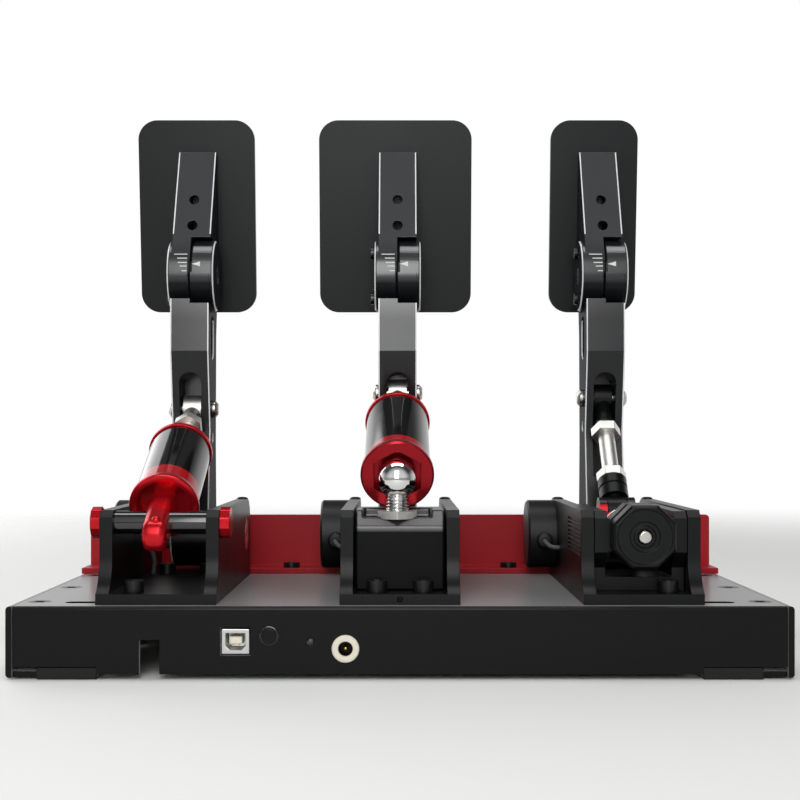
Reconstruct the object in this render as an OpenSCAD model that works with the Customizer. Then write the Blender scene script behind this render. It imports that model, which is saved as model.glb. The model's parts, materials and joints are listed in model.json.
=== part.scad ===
// Sim racing pedal set: throttle, brake and clutch modules bolted to a folded steel base.
// The origin is on the ground under the middle of the base. Seen from the linkage side,
// +X points right, +Y points away to the driver and +Z points up. Lengths are millimetres.
// Depths are measured from the front skirt, which is the skirt on the linkage side.
// Heights of the modules are measured from the top of the base plate.

/* [Base tray] */
// Width of the base from side to side
base_w = 330; // [326:1:380]
// Depth of the base from the front skirt to the driver's edge
base_d = 280; // [230:1:340]
// Height of the plate's top above the ground
base_h = 30.5; // [29:0.5:40]
// Thickness of the base's sheet
sheet_t = 2.5; // [1.5:0.1:3]
// Outside radius of the folds
fold_r = 1.6; // [0.6:0.1:2.4]
// Width of the side rails' bottom flanges
flange_w = 38; // [34:1:44]
// Height of the side rails above the ground
flange_lift = 0.6; // [0.4:0.1:1.5]
// Height of the skirts' lower edge above the ground
skirt_lift = 2.1; // [1.5:0.1:4]
// Seam between the tray and the side rails
seam_gap = 0.3; // [0.2:0.1:0.6]
// Width of the side rails' top flanges under the plate
rail_top_w = 20; // [17:1:24]
// Number of countersunk screws along each side rail
rail_screws_n = 5; // [3:1:7]
// Radius of the countersunk screws' heads
rail_head_r = 5; // [4.2:0.1:5.4]
// Length of the slots that bolt the base to a rig
rig_slot_l = 20; // [14:1:24]
// Width of the slots that bolt the base to a rig
rig_slot_w = 6.6; // [5.4:0.1:8.4]
// Distance of the rig slots' middles from the base's sides
rig_inset = 19; // [19:0.5:22]
// Distance between the rig slots along the base
rig_pitch_y = 160; // [120:1:180]
// Width of the lateral slots for the module bolts
slot_w = 6.5; // [6:0.1:7]
// Reach of the lateral slots to each side of a module's middle
slot_reach = 20; // [17:1:22]
// Distance of the outermost lateral slots' ends from the base's sides
slot_inset = 21.6; // [21:0.2:32]

/* [Rubber feet] */
// Width of a foot
foot_w = 25; // [18:1:26]
// Length of a foot along the flange
foot_l = 18; // [12:1:30]
// Height of a foot, which clips over the flange
foot_h = 4.8; // [4.6:0.1:6]
// Rubber in front of the flange's end
foot_lip = 2; // [1.5:0.1:4]
// Clearance between a foot and the notched skirt above it
foot_gap = 0.4; // [0.2:0.1:1]

/* [Heel bar] */
// Gap between the frames' rear edges and the heel bar's foot
heel_gap = 1; // [0.5:0.5:14]
// Height of the heel bar above the plate
heel_h = 29.5; // [24:0.5:36]
// Thickness of the heel bar
heel_t = 3; // [2:0.1:4]
// Length of the heel bar's foot on the plate, in front of the bar
heel_foot = 22; // [18:0.5:22]
// Radius of the heel bar's top corners and of its fold
heel_r = 2; // [1:0.1:3]
// Distance between the heel bar's two screws
heel_screw_pitch = 113; // [108:1:150]
// Radius of the heel bar's screw heads
heel_head_r = 4.2; // [3.6:0.1:4.4]

/* [Ports] */
// Position of the data socket across the base
usb_x = -68.8; // [-72:0.1:-66]
// Height of the data socket's middle
usb_z = 15.8; // [15.6:0.1:17]
// Width of the data socket's shell
usb_w = 12; // [11.6:0.1:12.4]
// Height of the data socket's shell
usb_h = 11.2; // [10.6:0.1:11.4]
// Position of the push button across the base
button_x = -54.8; // [-56:0.1:-54]
// Height of the push button's middle
button_z = 18.2; // [17:0.1:19]
// Radius of the push button
button_r = 3.5; // [3:0.1:4]
// Travel of the push button
button_travel = 1; // [0.6:0.1:1.4]
// Position of the status light across the base
led_x = -37.4; // [-39:0.1:-36]
// Height of the status light's middle
led_z = 16; // [15:0.1:18]
// Radius of the status light
led_r = 1.25; // [1:0.05:1.5]
// Position of the power socket across the base
jack_x = -22.8; // [-24:0.1:-21]
// Height of the power socket's middle
jack_z = 12.8; // [12:0.1:16]
// Radius of the power socket's flange
jack_r = 5.75; // [5.5:0.05:6.2]
// Radius of the power socket's opening
jack_bore_r = 3; // [2.8:0.05:3.2]
// Radius of the power socket's pin
jack_pin_r = 1; // [0.8:0.05:1.2]
// Position of the cable notch across the base
notch_x = -104.85; // [-106:0.1:-95]
// Width of the cable notch
notch_w = 8.5; // [6:0.1:10]
// Height of the cable notch's top above the ground
notch_h = 16.5; // [12:0.1:20]
// Clearance round whatever passes through the skirt
port_gap = 0.3; // [0.2:0.05:0.5]

/* [Pedal modules] */
// Distance between the middles of neighbouring modules
pitch = 103; // [100:0.5:110]
// Outside width of a module frame
frame_w = 51; // [50:0.5:54]
// Thickness of a frame's side walls
wall_t = 5.5; // [4.5:0.1:6]
// Thickness of a frame's floor
floor_t = 4.5; // [4:0.1:6]
// Height of the side walls above the plate
wall_h = 39.5; // [39:0.5:42]
// Depth of the frame's front edge
frame_front = 5; // [3:0.5:6]
// Depth of the side walls' upright front edge
wall_front = 13.5; // [12:0.5:14]
// Height of the cove that sweeps the side walls back
cove_h = 15; // [10:0.5:18]
// Chamfer at the side walls' front top corner
wall_chamfer = 3; // [1:0.5:4]
// Depth of the frame's rear edge
frame_back = 143; // [142:0.5:150]
// Radius of the side walls' rear top corner
wall_rear_r = 12; // [4:0.5:14]
// Radius of a frame bolt's shank
bolt_r = 2.5; // [2:0.1:2.6]
// Radius of a frame bolt's head
bolt_head_r = 4.25; // [4:0.05:4.4]
// Height of a frame bolt's head
bolt_head_h = 5; // [4:0.1:5.5]
// Depth of the front frame bolts
front_bolt_d = 15; // [14:0.1:15.2]
// Distance of the rear frame bolts in front of the pedal pivot
rear_bolt_in = 27; // [25:0.5:31]
// Radius of the clamp screws' heads on top of the walls
clamp_head_r = 2.6; // [2:0.1:2.7]
// Distance of the clamp screws behind the pedal pivot
clamp_back = 6; // [4:0.5:9]

/* [Pedal pivots] */
// Distance of the pedal pivot in front of a frame's rear edge
pivot_in = 18; // [17:0.5:19]
// Height of the pedal pivot above the plate
pivot_h = 22; // [21.5:0.1:22]
// Radius of the pivot shaft
pivot_r = 5; // [4:0.1:5.5]
// Outside radius of a pivot bearing
bearing_r = 8; // [7:0.1:8.5]
// Radius of the angle sensor's housing
sensor_r = 17.1; // [15:0.1:17.3]
// Length of the angle sensor's housing
sensor_l = 14; // [11:0.5:18]
// Radius of the sensor leads
lead_r = 1.1; // [0.9:0.05:1.2]
// Running clearance of shafts in their bores
run_gap = 0.05; // [0.02:0.01:0.1]
// Clearance of pressed and screwed pieces in their bores
press_gap = 0.02; // [0.01:0.01:0.05]
// Clearance between pieces that move past each other
move_gap = 0.3; // [0.3:0.05:0.5]

/* [Pedal arms] */
// Offset of the arms and linkages from a module's middle
arm_x = -1.2; // [-2:0.1:1]
// Width of an arm
arm_w = 19; // [18:0.5:21]
// Radius of the arm's foot round the pivot
arm_foot_r = 16; // [13:0.5:16.5]
// Width of the clevis slot in the arm
clevis_w = 11; // [10.5:0.1:12]
// Wall left behind the clevis slot
clevis_back = 5; // [4:0.5:7]
// Height of the clevis slot's lower edge above the pivot
clevis_low = 29.5; // [24:0.5:34]
// Height of the clevis slot's arched top above the pivot
clevis_top = 81; // [80:0.5:86]
// Distance of the link pins behind the pedal pivot
link_back = 1; // [0:0.5:2]
// Height of the throttle's link pin above the pivot
throttle_link_up = 62.9; // [60:0.1:64]
// Height of the brake's link pin above the pivot
brake_link_up = 71; // [68:0.1:72]
// Height of the clutch's link pin above the pivot
clutch_link_up = 68.5; // [67:0.1:70]
// Radius of the link pins
link_r = 3; // [2.5:0.1:3.2]
// Radius of the link pins' heads
link_head_r = 4.4; // [4:0.1:5]
// Distance down to the spare link hole
spare_drop = 14; // [12:0.5:15]
// Clearance of a rod end's eye round its link pin
eye_gap = 0.8; // [0.6:0.05:1]
// Distance of the tilt hinge between the lower and the upper arm behind the pivot
hinge_back = 3.5; // [2:0.5:4]
// Height of the tilt hinge above the pivot
hinge_up = 130.5; // [128:0.5:134]
// Radius of the tilt hinge's discs
hinge_r = 18; // [16.5:0.1:18.2]
// Width over both discs of the tilt hinge
hinge_w = 23; // [21:0.5:25]
// Chamfer on the rims of the hinge discs
hinge_chamfer = 1; // [0.4:0.1:1.5]
// Radius of the hinge's axle
axle_r = 4; // [3:0.1:5]
// Distance of the lock screws from the hinge's axle
lock_r = 11.5; // [10.5:0.1:12.5]
// Furthest tilt of a pedal face to each side, in degrees
tilt_max = 10; // [5:1:10]

/* [Pedal faces] */
// Height of the pedal faces along the plate
face_h = 99; // [90:1:104]
// Thickness of the pedal faces
face_t = 3.5; // [3:0.1:5]
// Corner radius of the pedal faces
face_r = 10; // [4:0.5:14]
// Width of the throttle face
throttle_face_w = 60; // [45:0.5:70]
// Width of the brake face
brake_face_w = 79; // [60:0.5:90]
// Width of the clutch face
clutch_face_w = 45; // [40:0.5:60]
// Lean of the faces towards the linkage side, in degrees
face_lean = 7; // [5:0.5:8]
// Offset of the faces from a module's middle
face_x = -2.4; // [-4:0.1:1]
// Distance of the faces' back behind the hinge, at the faces' middle
face_back = 19.5; // [19:0.5:21.5]
// Height of the faces' middle above the hinge
face_up = 33; // [31.5:0.5:35.5]
// Height of the upper arm's top above the faces' middle
upper_up = 32; // [25:0.5:34]

/* [Throttle damper] */
// Depth of the cross shaft
shaft_d = 21; // [20:0.5:24]
// Height of the cross shaft above the plate
shaft_h = 33.9; // [33:0.1:34]
// Radius of the cross shaft
shaft_r = 5; // [4:0.1:5.2]
// Radius of the knobs on the cross shaft's ends
knob_r = 6.9; // [6:0.1:8]
// Thickness of the knobs on the cross shaft's ends
knob_t = 4.4; // [3:0.1:6]
// Height of the damper's tongue, which the cross shaft passes through
tongue_h = 14; // [13:0.5:15]
// Distance from the cross shaft to the tongue's free end
tongue_out = 17.5; // [13:0.5:18]
// Width of the damper's tongue
tongue_w = 10.5; // [9:0.5:12]
// Distance from the cross shaft to the lower cap's rim
damper_cap_u = 14; // [13.5:0.1:15]
// Radius of the lower cap's rim
damper_cap_r = 15.5; // [15:0.1:16.5]
// Outside radius of the damper's tube
damper_tube_r = 14.2; // [13.6:0.1:14.6]
// Distance from the upper collar's end to the throttle's link pin
damper_rod_show = 46.73; // [43:0.01:49]
// Radius of the upper collar
damper_collar_r = 15; // [14.8:0.1:16]

/* [Brake cylinder] */
// Depth of the ball's middle
ball_d = 30; // [29.5:0.5:32]
// Height of the ball's middle above the plate
ball_h = 52.5; // [52:0.5:55]
// Radius of the ball
ball_r = 8.75; // [8.2:0.05:9]
// Radius of the ball's stud
stud_r = 5; // [4:0.1:5.4]
// Width across the flats of the stud's nut
stud_nut_w = 17; // [15:0.1:17.4]
// Depth of the load block's front face
block_front = 20; // [19.6:0.1:21]
// Depth of the load block's rear face
block_back = 58; // [54:0.5:64]
// Height of the load block's top above the plate
block_h = 39; // [38.5:0.5:39.5]
// Chamfer along the load block's front top edge
block_chamfer = 7; // [5:0.5:7.5]
// Distance from the ball's middle to the socket cap's rim
cap_u = 3; // [3:0.1:4]
// Radius of the socket cap's rim
cap_r = 16.3; // [15.6:0.1:16.4]
// Width across the flats of the socket cap's recess
cap_recess_w = 21; // [20.4:0.1:22]
// Outside radius of the brake's tube
brake_tube_r = 14.75; // [14:0.05:15]
// Distance from the upper collar's end to the brake's link pin
brake_rod_show = 37.19; // [34:0.01:39]
// Radius of the brake's upper collar
brake_collar_r = 15.5; // [15.2:0.1:16.5]
// Number of elastomer rings in the brake's tube
elastomers = 4; // [2:1:5]

/* [Rods] */
// Radius of the throttle's and the brake's push rod
rod_r = 4; // [3.4:0.1:4.2]
// Outside radius of a rod end's eye
rod_eye_r = 7; // [6:0.1:7.4]
// Width of a rod end's eye
rod_eye_w = 9; // [8:0.1:10]
// Width across the flats of the lock nuts
rod_nut_w = 12.5; // [11.5:0.1:13]
// Thickness of the lock nuts
rod_nut_t = 5; // [4:0.1:5.5]
// Wall of the damper's and the cylinder's tube
tube_t = 1.2; // [0.8:0.1:1.6]

/* [Clutch linkage] */
// Thickness of the cradle's side walls
cradle_t = 5.7; // [5:0.1:6]
// Thickness of the cradle's floor
cradle_floor = 6; // [4:0.5:7]
// Length of the cradle behind the rocker's pin
cradle_tail = 12; // [11:0.5:15]
// Distance of the rocker's pin in front of the rear frame bolts
rocker_in = 26; // [24:0.5:27]
// Height of the rocker's pin above the plate
rocker_h = 13.5; // [13:0.1:14]
// Radius of the rocker's pin
rocker_pin_r = 4; // [3:0.1:4.5]
// Distance of the rod's lower pin behind the rocker's pin
crank_back = 4.5; // [3:0.1:5]
// Height of the rod's lower pin above the rocker's pin
crank_up = 22; // [21:0.1:23]
// Radius of the rocker's noses that push the spring
nose_r = 5.5; // [5:0.1:6]
// Thickness of each cheek of the rocker
cheek_t = 3.6; // [3:0.1:4]
// Height of the spring's axis above the plate
spring_h = 28.8; // [28.5:0.1:29]
// Mean radius of the clutch spring's curls
spring_r = 7.5; // [7:0.1:8]
// Radius of the clutch spring's wire
wire_r = 1.5; // [1:0.1:1.7]
// Curls of the clutch spring
curls = 7; // [5:1:8]
// Radius of the guide bolt
guide_r = 2.75; // [2.2:0.05:3]
// Gap between the octagonal spring cup and the cradle's walls
octagon_gap = 0.95; // [0.8:0.05:1.8]
// Thickness of the octagonal knob
preload_t = 11; // [6:0.1:11.5]
// Radius of the clutch's adjustable rod
clutch_rod_r = 4; // [3:0.1:4.5]
// Radius of the socket at the lower end of the clutch's rod
clutch_socket_r = 6.85; // [6:0.05:7]

/* [Hidden] */
$fn = 48;

black = "#1c1c1e";
gloss = "#0e0e10";
red = "#b3151f";
steel = "#b9bcc1";
rubber = "#101011";
brass = "#b58a3c";
cut = 0.01;
over = 1;

THROTTLE = 0;
BRAKE = 1;
CLUTCH = 2;
module_x = [-pitch, 0, pitch];
pivot_d = frame_back - pivot_in;
link_d = pivot_d + link_back;
link_h = [for (up = [throttle_link_up, brake_link_up, clutch_link_up]) pivot_h + up];
hinge_d = pivot_d + hinge_back;
hinge_h = pivot_h + hinge_up;
face_d = hinge_d + face_back;
face_mid_h = hinge_h + face_up;
upper_top_h = face_mid_h + upper_up;
rear_bolt_d = pivot_d - rear_bolt_in;
clamp_d = pivot_d + clamp_back;
rocker_d = rear_bolt_d - rocker_in;
cradle_back = rocker_d + cradle_tail;
heel_d = frame_back + heel_gap + heel_foot;
rig_pitch_x = base_w - 2 * rig_inset;
slot_outer = base_w / 2 - pitch - slot_inset;
face_w = [throttle_face_w, brake_face_w, clutch_face_w];
front_bolts = [[-11], [-10, 10], [12]];
rear_bolts = [-10, 10];
inner_half = frame_w / 2 - wall_t;
plate_under = base_h - sheet_t;
rail_wall_x = base_w / 2 - sheet_t;
tray_half = rail_wall_x - seam_gap;
rail_screw_x = base_w / 2 - rail_top_w / 2;
rail_screw_end = 2;
rail_screw_in = [18, 25];
rail_screw_d = [
    for (i = [0 : rail_screws_n - 1])
        rail_screw_in[0] + (base_d - rail_screw_in[0] - rail_screw_in[1]) * i / (rail_screws_n - 1)
];
heel_screw_in = 5;
heel_screw_d = heel_d - heel_foot + heel_screw_in;
heel_button_h = 2.6;
m5_nut_w = 8;
m5_nut_t = 4;
m5_flange_r = 5.5;
bolt_clear = 0.25;

// Board under the plate, behind the ports
board_t = 1.6;
board_top = usb_z - usb_h / 2;
board_left = 14;
board_right = 6;
board_x = [usb_x - board_left, led_x + board_right];
board_d = [4.5, 44];
board_hole_inset = 3.5;
board_hole_front = 15;
board_hole_at = [
    for (x = [board_x[0] + board_hole_inset, board_x[1] - board_hole_inset],
         d = [board_d[0] + board_hole_front, board_d[1] - board_hole_inset]) [x, d]
];
standoff_r = 2.5;
board_screw_r = 1.5;
switch_gap = 0.3;
switch_half = 3;
switch_back = 16;
chip_half = 5;
chip_d = 27;
chip_t = 1.2;
header_half = 3;
header_t = 6;
stem_end = 9;
jack_barrel_r = jack_r - 1.5;

// Cove of the side walls: an arc through the floor's front edge that ends upright
cove_run = wall_front - frame_front;
cove_r = (cove_run * cove_run + cove_h * cove_h) / (2 * cove_run);

// Bearings and spacers on the pivot shaft
bearing_flange = 1;
bearing_flange_r = bearing_r + 1.5;
spacer_r = pivot_r + 2.5;
sensor_pocket_r = pivot_r + 2.5;
shaft_in_sensor = 6;
sensor_chamfer = 1;
lead_exit_x = -frame_w / 2 - 6.2;
lead_exit_h = pivot_h - 2;
grommet_r = 2.6;
grommet_l = 1.2;
lead_hole_d = 99.5;
lead_hole_h = 17;
lead_hole_r = lead_r + 1;
lead_drop_x = -17;
grommet_d = pivot_d - sensor_r - grommet_l;
clamp_r = 1.5;
clamp_bite = 7;
clamp_head_h = 2.4;
louvres = 8;
louvre_h = 20;
louvre_pitch = 1.9;
louvre_deep = 1;
louvre_end = 62;

// Outline of the lower arm, from the pivot up to the hinge
arm_waist_at = [-7.5, 52];
arm_knee_at = [-19, -39];
arm_back_top_at = [11.5, -30];
arm_back_low_at = [13.5, 45];
arm_waist = [pivot_d, pivot_h] + arm_waist_at;
arm_knee = [hinge_d, hinge_h] + arm_knee_at;
arm_back_top = [hinge_d, hinge_h] + arm_back_top_at;
arm_back_low = [pivot_d, pivot_h] + arm_back_low_at;
hinge_clear_r = hinge_r + move_gap + 0.1;
hinge_split = 0.15;
knuckle_drop = 13;
window_w = 11;
window_h = 22;
window_at = [-3.5, -31.5];
window_mid = [hinge_d, hinge_h] + window_at;
reach = 40;
lock_screw_r = 1.6;
lock_head_r = 3;
lock_head_h = 1.8;
lock_slot_r = lock_screw_r + 0.4;
lock_bite = 6;
link_head_h = 3;

// Screws that hold a face to its upper arm, by their distance above the face's middle
face_screw_up = [8, -5];
face_screw_r = 1.25;
face_head_r = 2.2;
face_head_h = 3;
face_bite = face_t - 1;
face_seat = 6;

// Axes of the throttle damper and of the brake cylinder, as depth and height
damper_foot = [shaft_d, shaft_h];
damper_top = [link_d, link_h[THROTTLE]];
damper_l = norm(damper_top - damper_foot);
damper_end_u = damper_l - damper_rod_show;
damper_tilt = atan2(damper_top.y - damper_foot.y, damper_top.x - damper_foot.x);
brake_foot = [ball_d, ball_h];
brake_top = [link_d, link_h[BRAKE]];
brake_l = norm(brake_top - brake_foot);
brake_end_u = brake_l - brake_rod_show;
brake_tilt = atan2(brake_top.y - brake_foot.y, brake_top.x - brake_foot.x);

// Inside of the damper and of the cylinder, along their axes
tube_lap = 6;
plug_l = 7;
collar_t = 3;
collar_bevel = 0.8;
piston_t = 4;
piston_gap = 2;
rod_nut_back = 18;
damper_spring_r = 9.4;
damper_wire_r = 1.2;
damper_curls = 6;
cap_seat_r = 6;
elastomer_gap = 0.3;
elastomer_bore = 4;
damper_plug_u = damper_cap_u + tube_lap + plug_l;
damper_piston_u = damper_end_u - collar_t - plug_l - piston_gap - piston_t;
damper_helix = helix(
    damper_spring_r, damper_plug_u + damper_wire_r + 0.5, damper_piston_u - damper_wire_r - 0.5, damper_curls
);
brake_plug_u = cap_u + tube_lap + plug_l;
brake_piston_u = brake_end_u - collar_t - plug_l - piston_gap - piston_t;
stud_nut_t = 3.5;
pocket_deep = 4;
pocket_half = 14.8;
pocket_front = ball_d - 6;
pocket_back = ball_d + 16;
stud_nut_low = block_h - pocket_deep;
stud_end = floor_t + 8;

// Clutch mechanism
rocker = [rocker_d, rocker_h];
crank = rocker + [crank_back, crank_up];
clutch_top = [link_d, link_h[CLUTCH]];
clutch_l = norm(clutch_top - crank);
clutch_tilt = atan2(clutch_top.y - crank.y, clutch_top.x - crank.x);
nose = [rocker_d - 2, spring_h - 0.2];
seat_t = 4;
seat_r = 9.5;
seat_gap = move_gap + 0.2;
seat_back = nose.x - nose_r - seat_gap;
cradle_half = inner_half - cradle_t;
cradle_out = inner_half - move_gap;
cradle_top = wall_h - 0.5;
cradle_toe = front_bolt_d + bolt_head_r + 1;
cradle_floor_end = rocker_d - arm_foot_r + 3;
rocker_hub_r = rocker_pin_r + 3.5;
preload_back = wall_front - 0.5;
preload_front = preload_back - preload_t;
lip_t = 2;
lip_d = 3;
cup_front = wall_front + lip_d + move_gap;
cup_t = 12;
cup_floor = 5;
sleeve_r = 6;
spring_start = cup_front + cup_floor + 0.2;
spring_stop = seat_back - seat_t - 0.2;
octagon_r = (cradle_half - octagon_gap) / cos(22.5);
octagon_bevel = 1.2;
knob_rim = 1.75;
knob_dish_r = cradle_half - octagon_gap - knob_rim;
knob_ring_r = 6.4;
knob_mouth_r = 4.6;
sleeve_end = cup_front + cup_floor - move_gap;
lower_socket_l = 19;
upper_socket_l = 21;
rod_bite = 6;
neck_r = rod_eye_w / 2 - 0.3;
clutch_helix = helix(spring_r, spring_start + wire_r, spring_stop - wire_r, curls);

// Routes of the sensor leads, which run below the plate at this height from its top
lead_low = -9;
lead_header_d = 40;
lead_header_h = board_top + header_t - base_h;
lead_header_x = [usb_x, button_x, led_x - 4];

// Moves what is drawn from the front skirt's face to the base's own frame
module from_front() translate([0, -base_d / 2, 0]) children();
// The same, with the height measured from the plate and the width from a module's middle
module at_module(k) from_front() translate([module_x[k], 0, base_h]) children();
// Extrudes an outline drawn in depth and height across the width
module across(x0, x1) translate([x0, 0, 0]) rotate([90, 0, 90]) linear_extrude(x1 - x0) children();
// Round bar across the width through a point given as depth and height
module bar_x(r, x0, x1, at) translate([x0, at.x, at.y]) rotate([0, 90, 0]) cylinder(r = r, h = x1 - x0);
// Box between two corners
module block(lo, hi) translate(lo) cube(hi - lo);
// Turns an outline of radius and height about the upright axis
module spun() rotate_extrude() children();
// Turns an outline of radius and distance about the depth axis
module spun_y() rotate([-90, 0, 0]) rotate_extrude() children();
// Turns an outline of radius and distance about the width axis
module spun_x() rotate([0, 90, 0]) rotate_extrude() children();
// Places a linkage: its axis starts at a point and runs along +Y at a tilt
module on_link(foot, tilt) translate([arm_x, foot.x, foot.y]) rotate([tilt, 0, 0]) children();
// Places a pedal face: +Z runs up its back and +Y points through it
module on_face() translate([face_x, face_d, face_mid_h]) rotate([face_lean, 0, 0]) children();

module round_rect(w, h, r) {
    square([w - 2 * r, h], center = true);
    square([w, h - 2 * r], center = true);
    for (sx = [-1, 1], sy = [-1, 1])
        translate([sx * (w / 2 - r), sy * (h / 2 - r)]) circle(r);
}

// Slot with round ends, by its whole length and half its width
module slot(l, r) {
    square([l - 2 * r, 2 * r], center = true);
    for (s = [-1, 1]) translate([s * (l / 2 - r), 0]) circle(r);
}

// Hexagon by the width across its flats, with a corner on +X
module hexagon(w) circle(r = w / 2 / cos(30), $fn = 6);

// Hexagonal nut that stands on the plane of its outline
module nut(w, t, bore) linear_extrude(t) difference() {
    hexagon(w);
    circle(bore);
}

// Socket head screw that points down from its head's underside at the origin
module cap_screw(r, l, head_r, head_h) {
    socket_r = head_r * 0.55;
    difference() {
        cylinder(r = head_r, h = head_h);
        translate([0, 0, head_h / 2]) cylinder(r = socket_r, h = head_h, $fn = 6);
    }
    translate([0, 0, -l]) cylinder(r = r, h = l + cut);
}

// Points of a helix along +Y, eight to a curl
function helix(r, y0, y1, turns) = [
    for (i = [0 : 8 * turns])
        [r * cos(45 * i), y0 + (y1 - y0) * i / (8 * turns), r * sin(45 * i)]
];
// Least gap between curls of a tube of this radius, measured on the helix's points
function least_gap(p, r) = min([
    for (i = [0 : len(p) - 6], j = [i + 5 : len(p) - 1]) norm(p[j] - p[i])
]) - 2 * r;
// Direction of a path at one of its points
function heading(p, i) =
    let (a = p[max(i - 1, 0)], b = p[min(i + 1, len(p) - 1)]) (b - a) / norm(b - a);
function side(t) = let (c = cross(t, [0.31, 0.52, 0.79])) c / norm(c);
// Ring of points round a path's point
function ring(c, t, r, n) =
    let (u = side(t), v = cross(t, u))
    [for (k = [0 : n - 1]) c + r * (cos(360 * k / n) * u + sin(360 * k / n) * v)];

// Tube of triangles along a path, with flat ends
module tube(p, r, n) {
    m = len(p);
    points = [for (i = [0 : m - 1]) each ring(p[i], heading(p, i), r, n)];
    walls = [
        for (i = [0 : m - 2], k = [0 : n - 1])
            let (a = i * n + k, b = i * n + (k + 1) % n) each [[a, a + n, b], [b, a + n, b + n]]
    ];
    ends = [
        for (k = [1 : n - 2])
            each [[0, k, k + 1], [(m - 1) * n, (m - 1) * n + k + 1, (m - 1) * n + k]]
    ];
    polyhedron(points, concat(walls, ends));
}

// Smooth path through points chosen by hand, with a number of steps between neighbours
function spline_point(a, b, c, d, t) =
    0.5 * (2 * b + (c - a) * t + (2 * a - 5 * b + 4 * c - d) * t * t + (3 * b - a - 3 * c + d) * t * t * t);
function spline(p, steps) = concat([
    for (i = [0 : len(p) - 2], k = [0 : steps - 1])
        spline_point(p[max(i - 1, 0)], p[i], p[i + 1], p[min(i + 2, len(p) - 1)], k / steps)
], [p[len(p) - 1]]);

// Front or rear skirt, cut up at both ends over the rails' flanges and the feet
module skirt_outline() difference() {
    translate([-tray_half, skirt_lift]) square([2 * tray_half, plate_under - skirt_lift + cut]);
    for (s = [-1, 1])
        translate([s * (base_w - flange_w) / 2, 0])
            square([flange_w, 2 * (foot_h + foot_gap)], center = true);
}

// Section of the right side rail: wall, bottom flange and the flange under the plate
module rail_section() {
    tall = base_h - flange_lift;
    difference() {
        translate([base_w / 2 - flange_w / 2, flange_lift + tall / 2]) round_rect(flange_w, tall, fold_r);
        translate([base_w / 2 - flange_w - over, flange_lift + sheet_t])
            square([flange_w - sheet_t + over, tall]);
        translate([base_w / 2 - flange_w - over, 0]) square([fold_r + over, base_h]);
    }
    translate([base_w / 2 - flange_w, flange_lift]) square([fold_r + cut, sheet_t]);
}

// Countersunk cone of a rail screw, flush with the plate
module countersink(gap) translate([0, 0, plate_under])
    cylinder(r1 = bolt_r + gap, r2 = rail_head_r + gap, h = sheet_t);

module at_rail_screws() for (s = [-1, 1], d = rail_screw_d) translate([s * rail_screw_x, d, 0]) children();

// What a fold's rounding takes away, in depth and height
module fold_corner() difference() {
    translate([-over, base_h - fold_r]) square(fold_r + over);
    translate([fold_r, base_h - fold_r]) circle(fold_r);
}

module rig_slots() for (sx = [-1, 1], sy = [-1, 1])
    translate([sx * rig_pitch_x / 2, base_d / 2 + sy * rig_pitch_y / 2, -over])
        linear_extrude(flange_lift + sheet_t + 2 * over) slot(rig_slot_l, rig_slot_w / 2);

// Cut-outs of the front skirt for the ports
module port_holes() {
    deep = sheet_t + 2 * over;
    translate([usb_x, -over, usb_z]) rotate([-90, 0, 0])
        linear_extrude(deep) square([usb_w + 2 * port_gap, usb_h + 2 * port_gap], center = true);
    translate([button_x, -over, button_z]) rotate([-90, 0, 0]) cylinder(r = button_r + port_gap, h = deep);
    translate([led_x, -over, led_z]) rotate([-90, 0, 0]) cylinder(r = led_r + port_gap, h = deep);
    translate([jack_x, -over, jack_z]) rotate([-90, 0, 0]) cylinder(r = jack_barrel_r + press_gap, h = deep);
    block([notch_x - notch_w / 2, -over, -over], [notch_x + notch_w / 2, sheet_t + over, notch_h]);
}

// Lateral slots for the frame bolts and holes for the leads and the heel bar's screws
module plate_holes() {
    for (k = [0 : 2], d = [front_bolt_d, rear_bolt_d]) {
        left = k == THROTTLE ? slot_outer : slot_reach;
        right = k == CLUTCH ? slot_outer : slot_reach;
        translate([module_x[k] + (right - left) / 2, d, plate_under - over])
            linear_extrude(sheet_t + 2 * over) slot(left + right, slot_w / 2);
    }
    for (x = module_x)
        translate([x + lead_drop_x, lead_hole_d, plate_under - over])
            cylinder(r = lead_hole_r, h = sheet_t + 2 * over);
    for (s = [-1, 1]) translate([s * heel_screw_pitch / 2, heel_screw_d, plate_under - over])
        cylinder(r = bolt_r + press_gap, h = sheet_t + 2 * over);
}

// Plate with its front and rear skirts, folded from one sheet
module base_tray() color(black) from_front() difference() {
    union() {
        block([-tray_half, 0, plate_under], [tray_half, base_d, base_h]);
        for (d = [sheet_t, base_d])
            translate([0, d, 0]) rotate([90, 0, 0]) linear_extrude(sheet_t) skirt_outline();
    }
    across(-base_w / 2 - over, base_w / 2 + over) {
        fold_corner();
        translate([base_d, 0]) mirror([1, 0]) fold_corner();
    }
    port_holes();
    plate_holes();
    at_rail_screws() {
        countersink(press_gap);
        translate([0, 0, base_h - cut]) cylinder(r = rail_head_r + press_gap, h = over);
    }
}

// Side rails that close the tray's ends, carry the feet and take the rig's bolts
module side_rails() color(black) from_front() difference() {
    for (m = [0, 1]) mirror([m, 0, 0]) {
        translate([0, base_d, 0]) rotate([90, 0, 0]) linear_extrude(base_d) rail_section();
        block([base_w / 2 - rail_top_w, sheet_t + seam_gap, plate_under - sheet_t],
              [rail_wall_x + cut, base_d - sheet_t - seam_gap, plate_under]);
    }
    for (s = [-1, 1], d = [-over, base_d - foot_lip])
        translate([s * (base_w - flange_w - sheet_t) / 2, d, flange_lift - over / 2])
            translate([-(flange_w - sheet_t) / 2, 0, 0])
                cube([flange_w - sheet_t, foot_lip + over, sheet_t + over]);
    rig_slots();
    at_rail_screws() translate([0, 0, plate_under - sheet_t - over])
        cylinder(r = bolt_r + press_gap, h = sheet_t + 2 * over);
}

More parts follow.
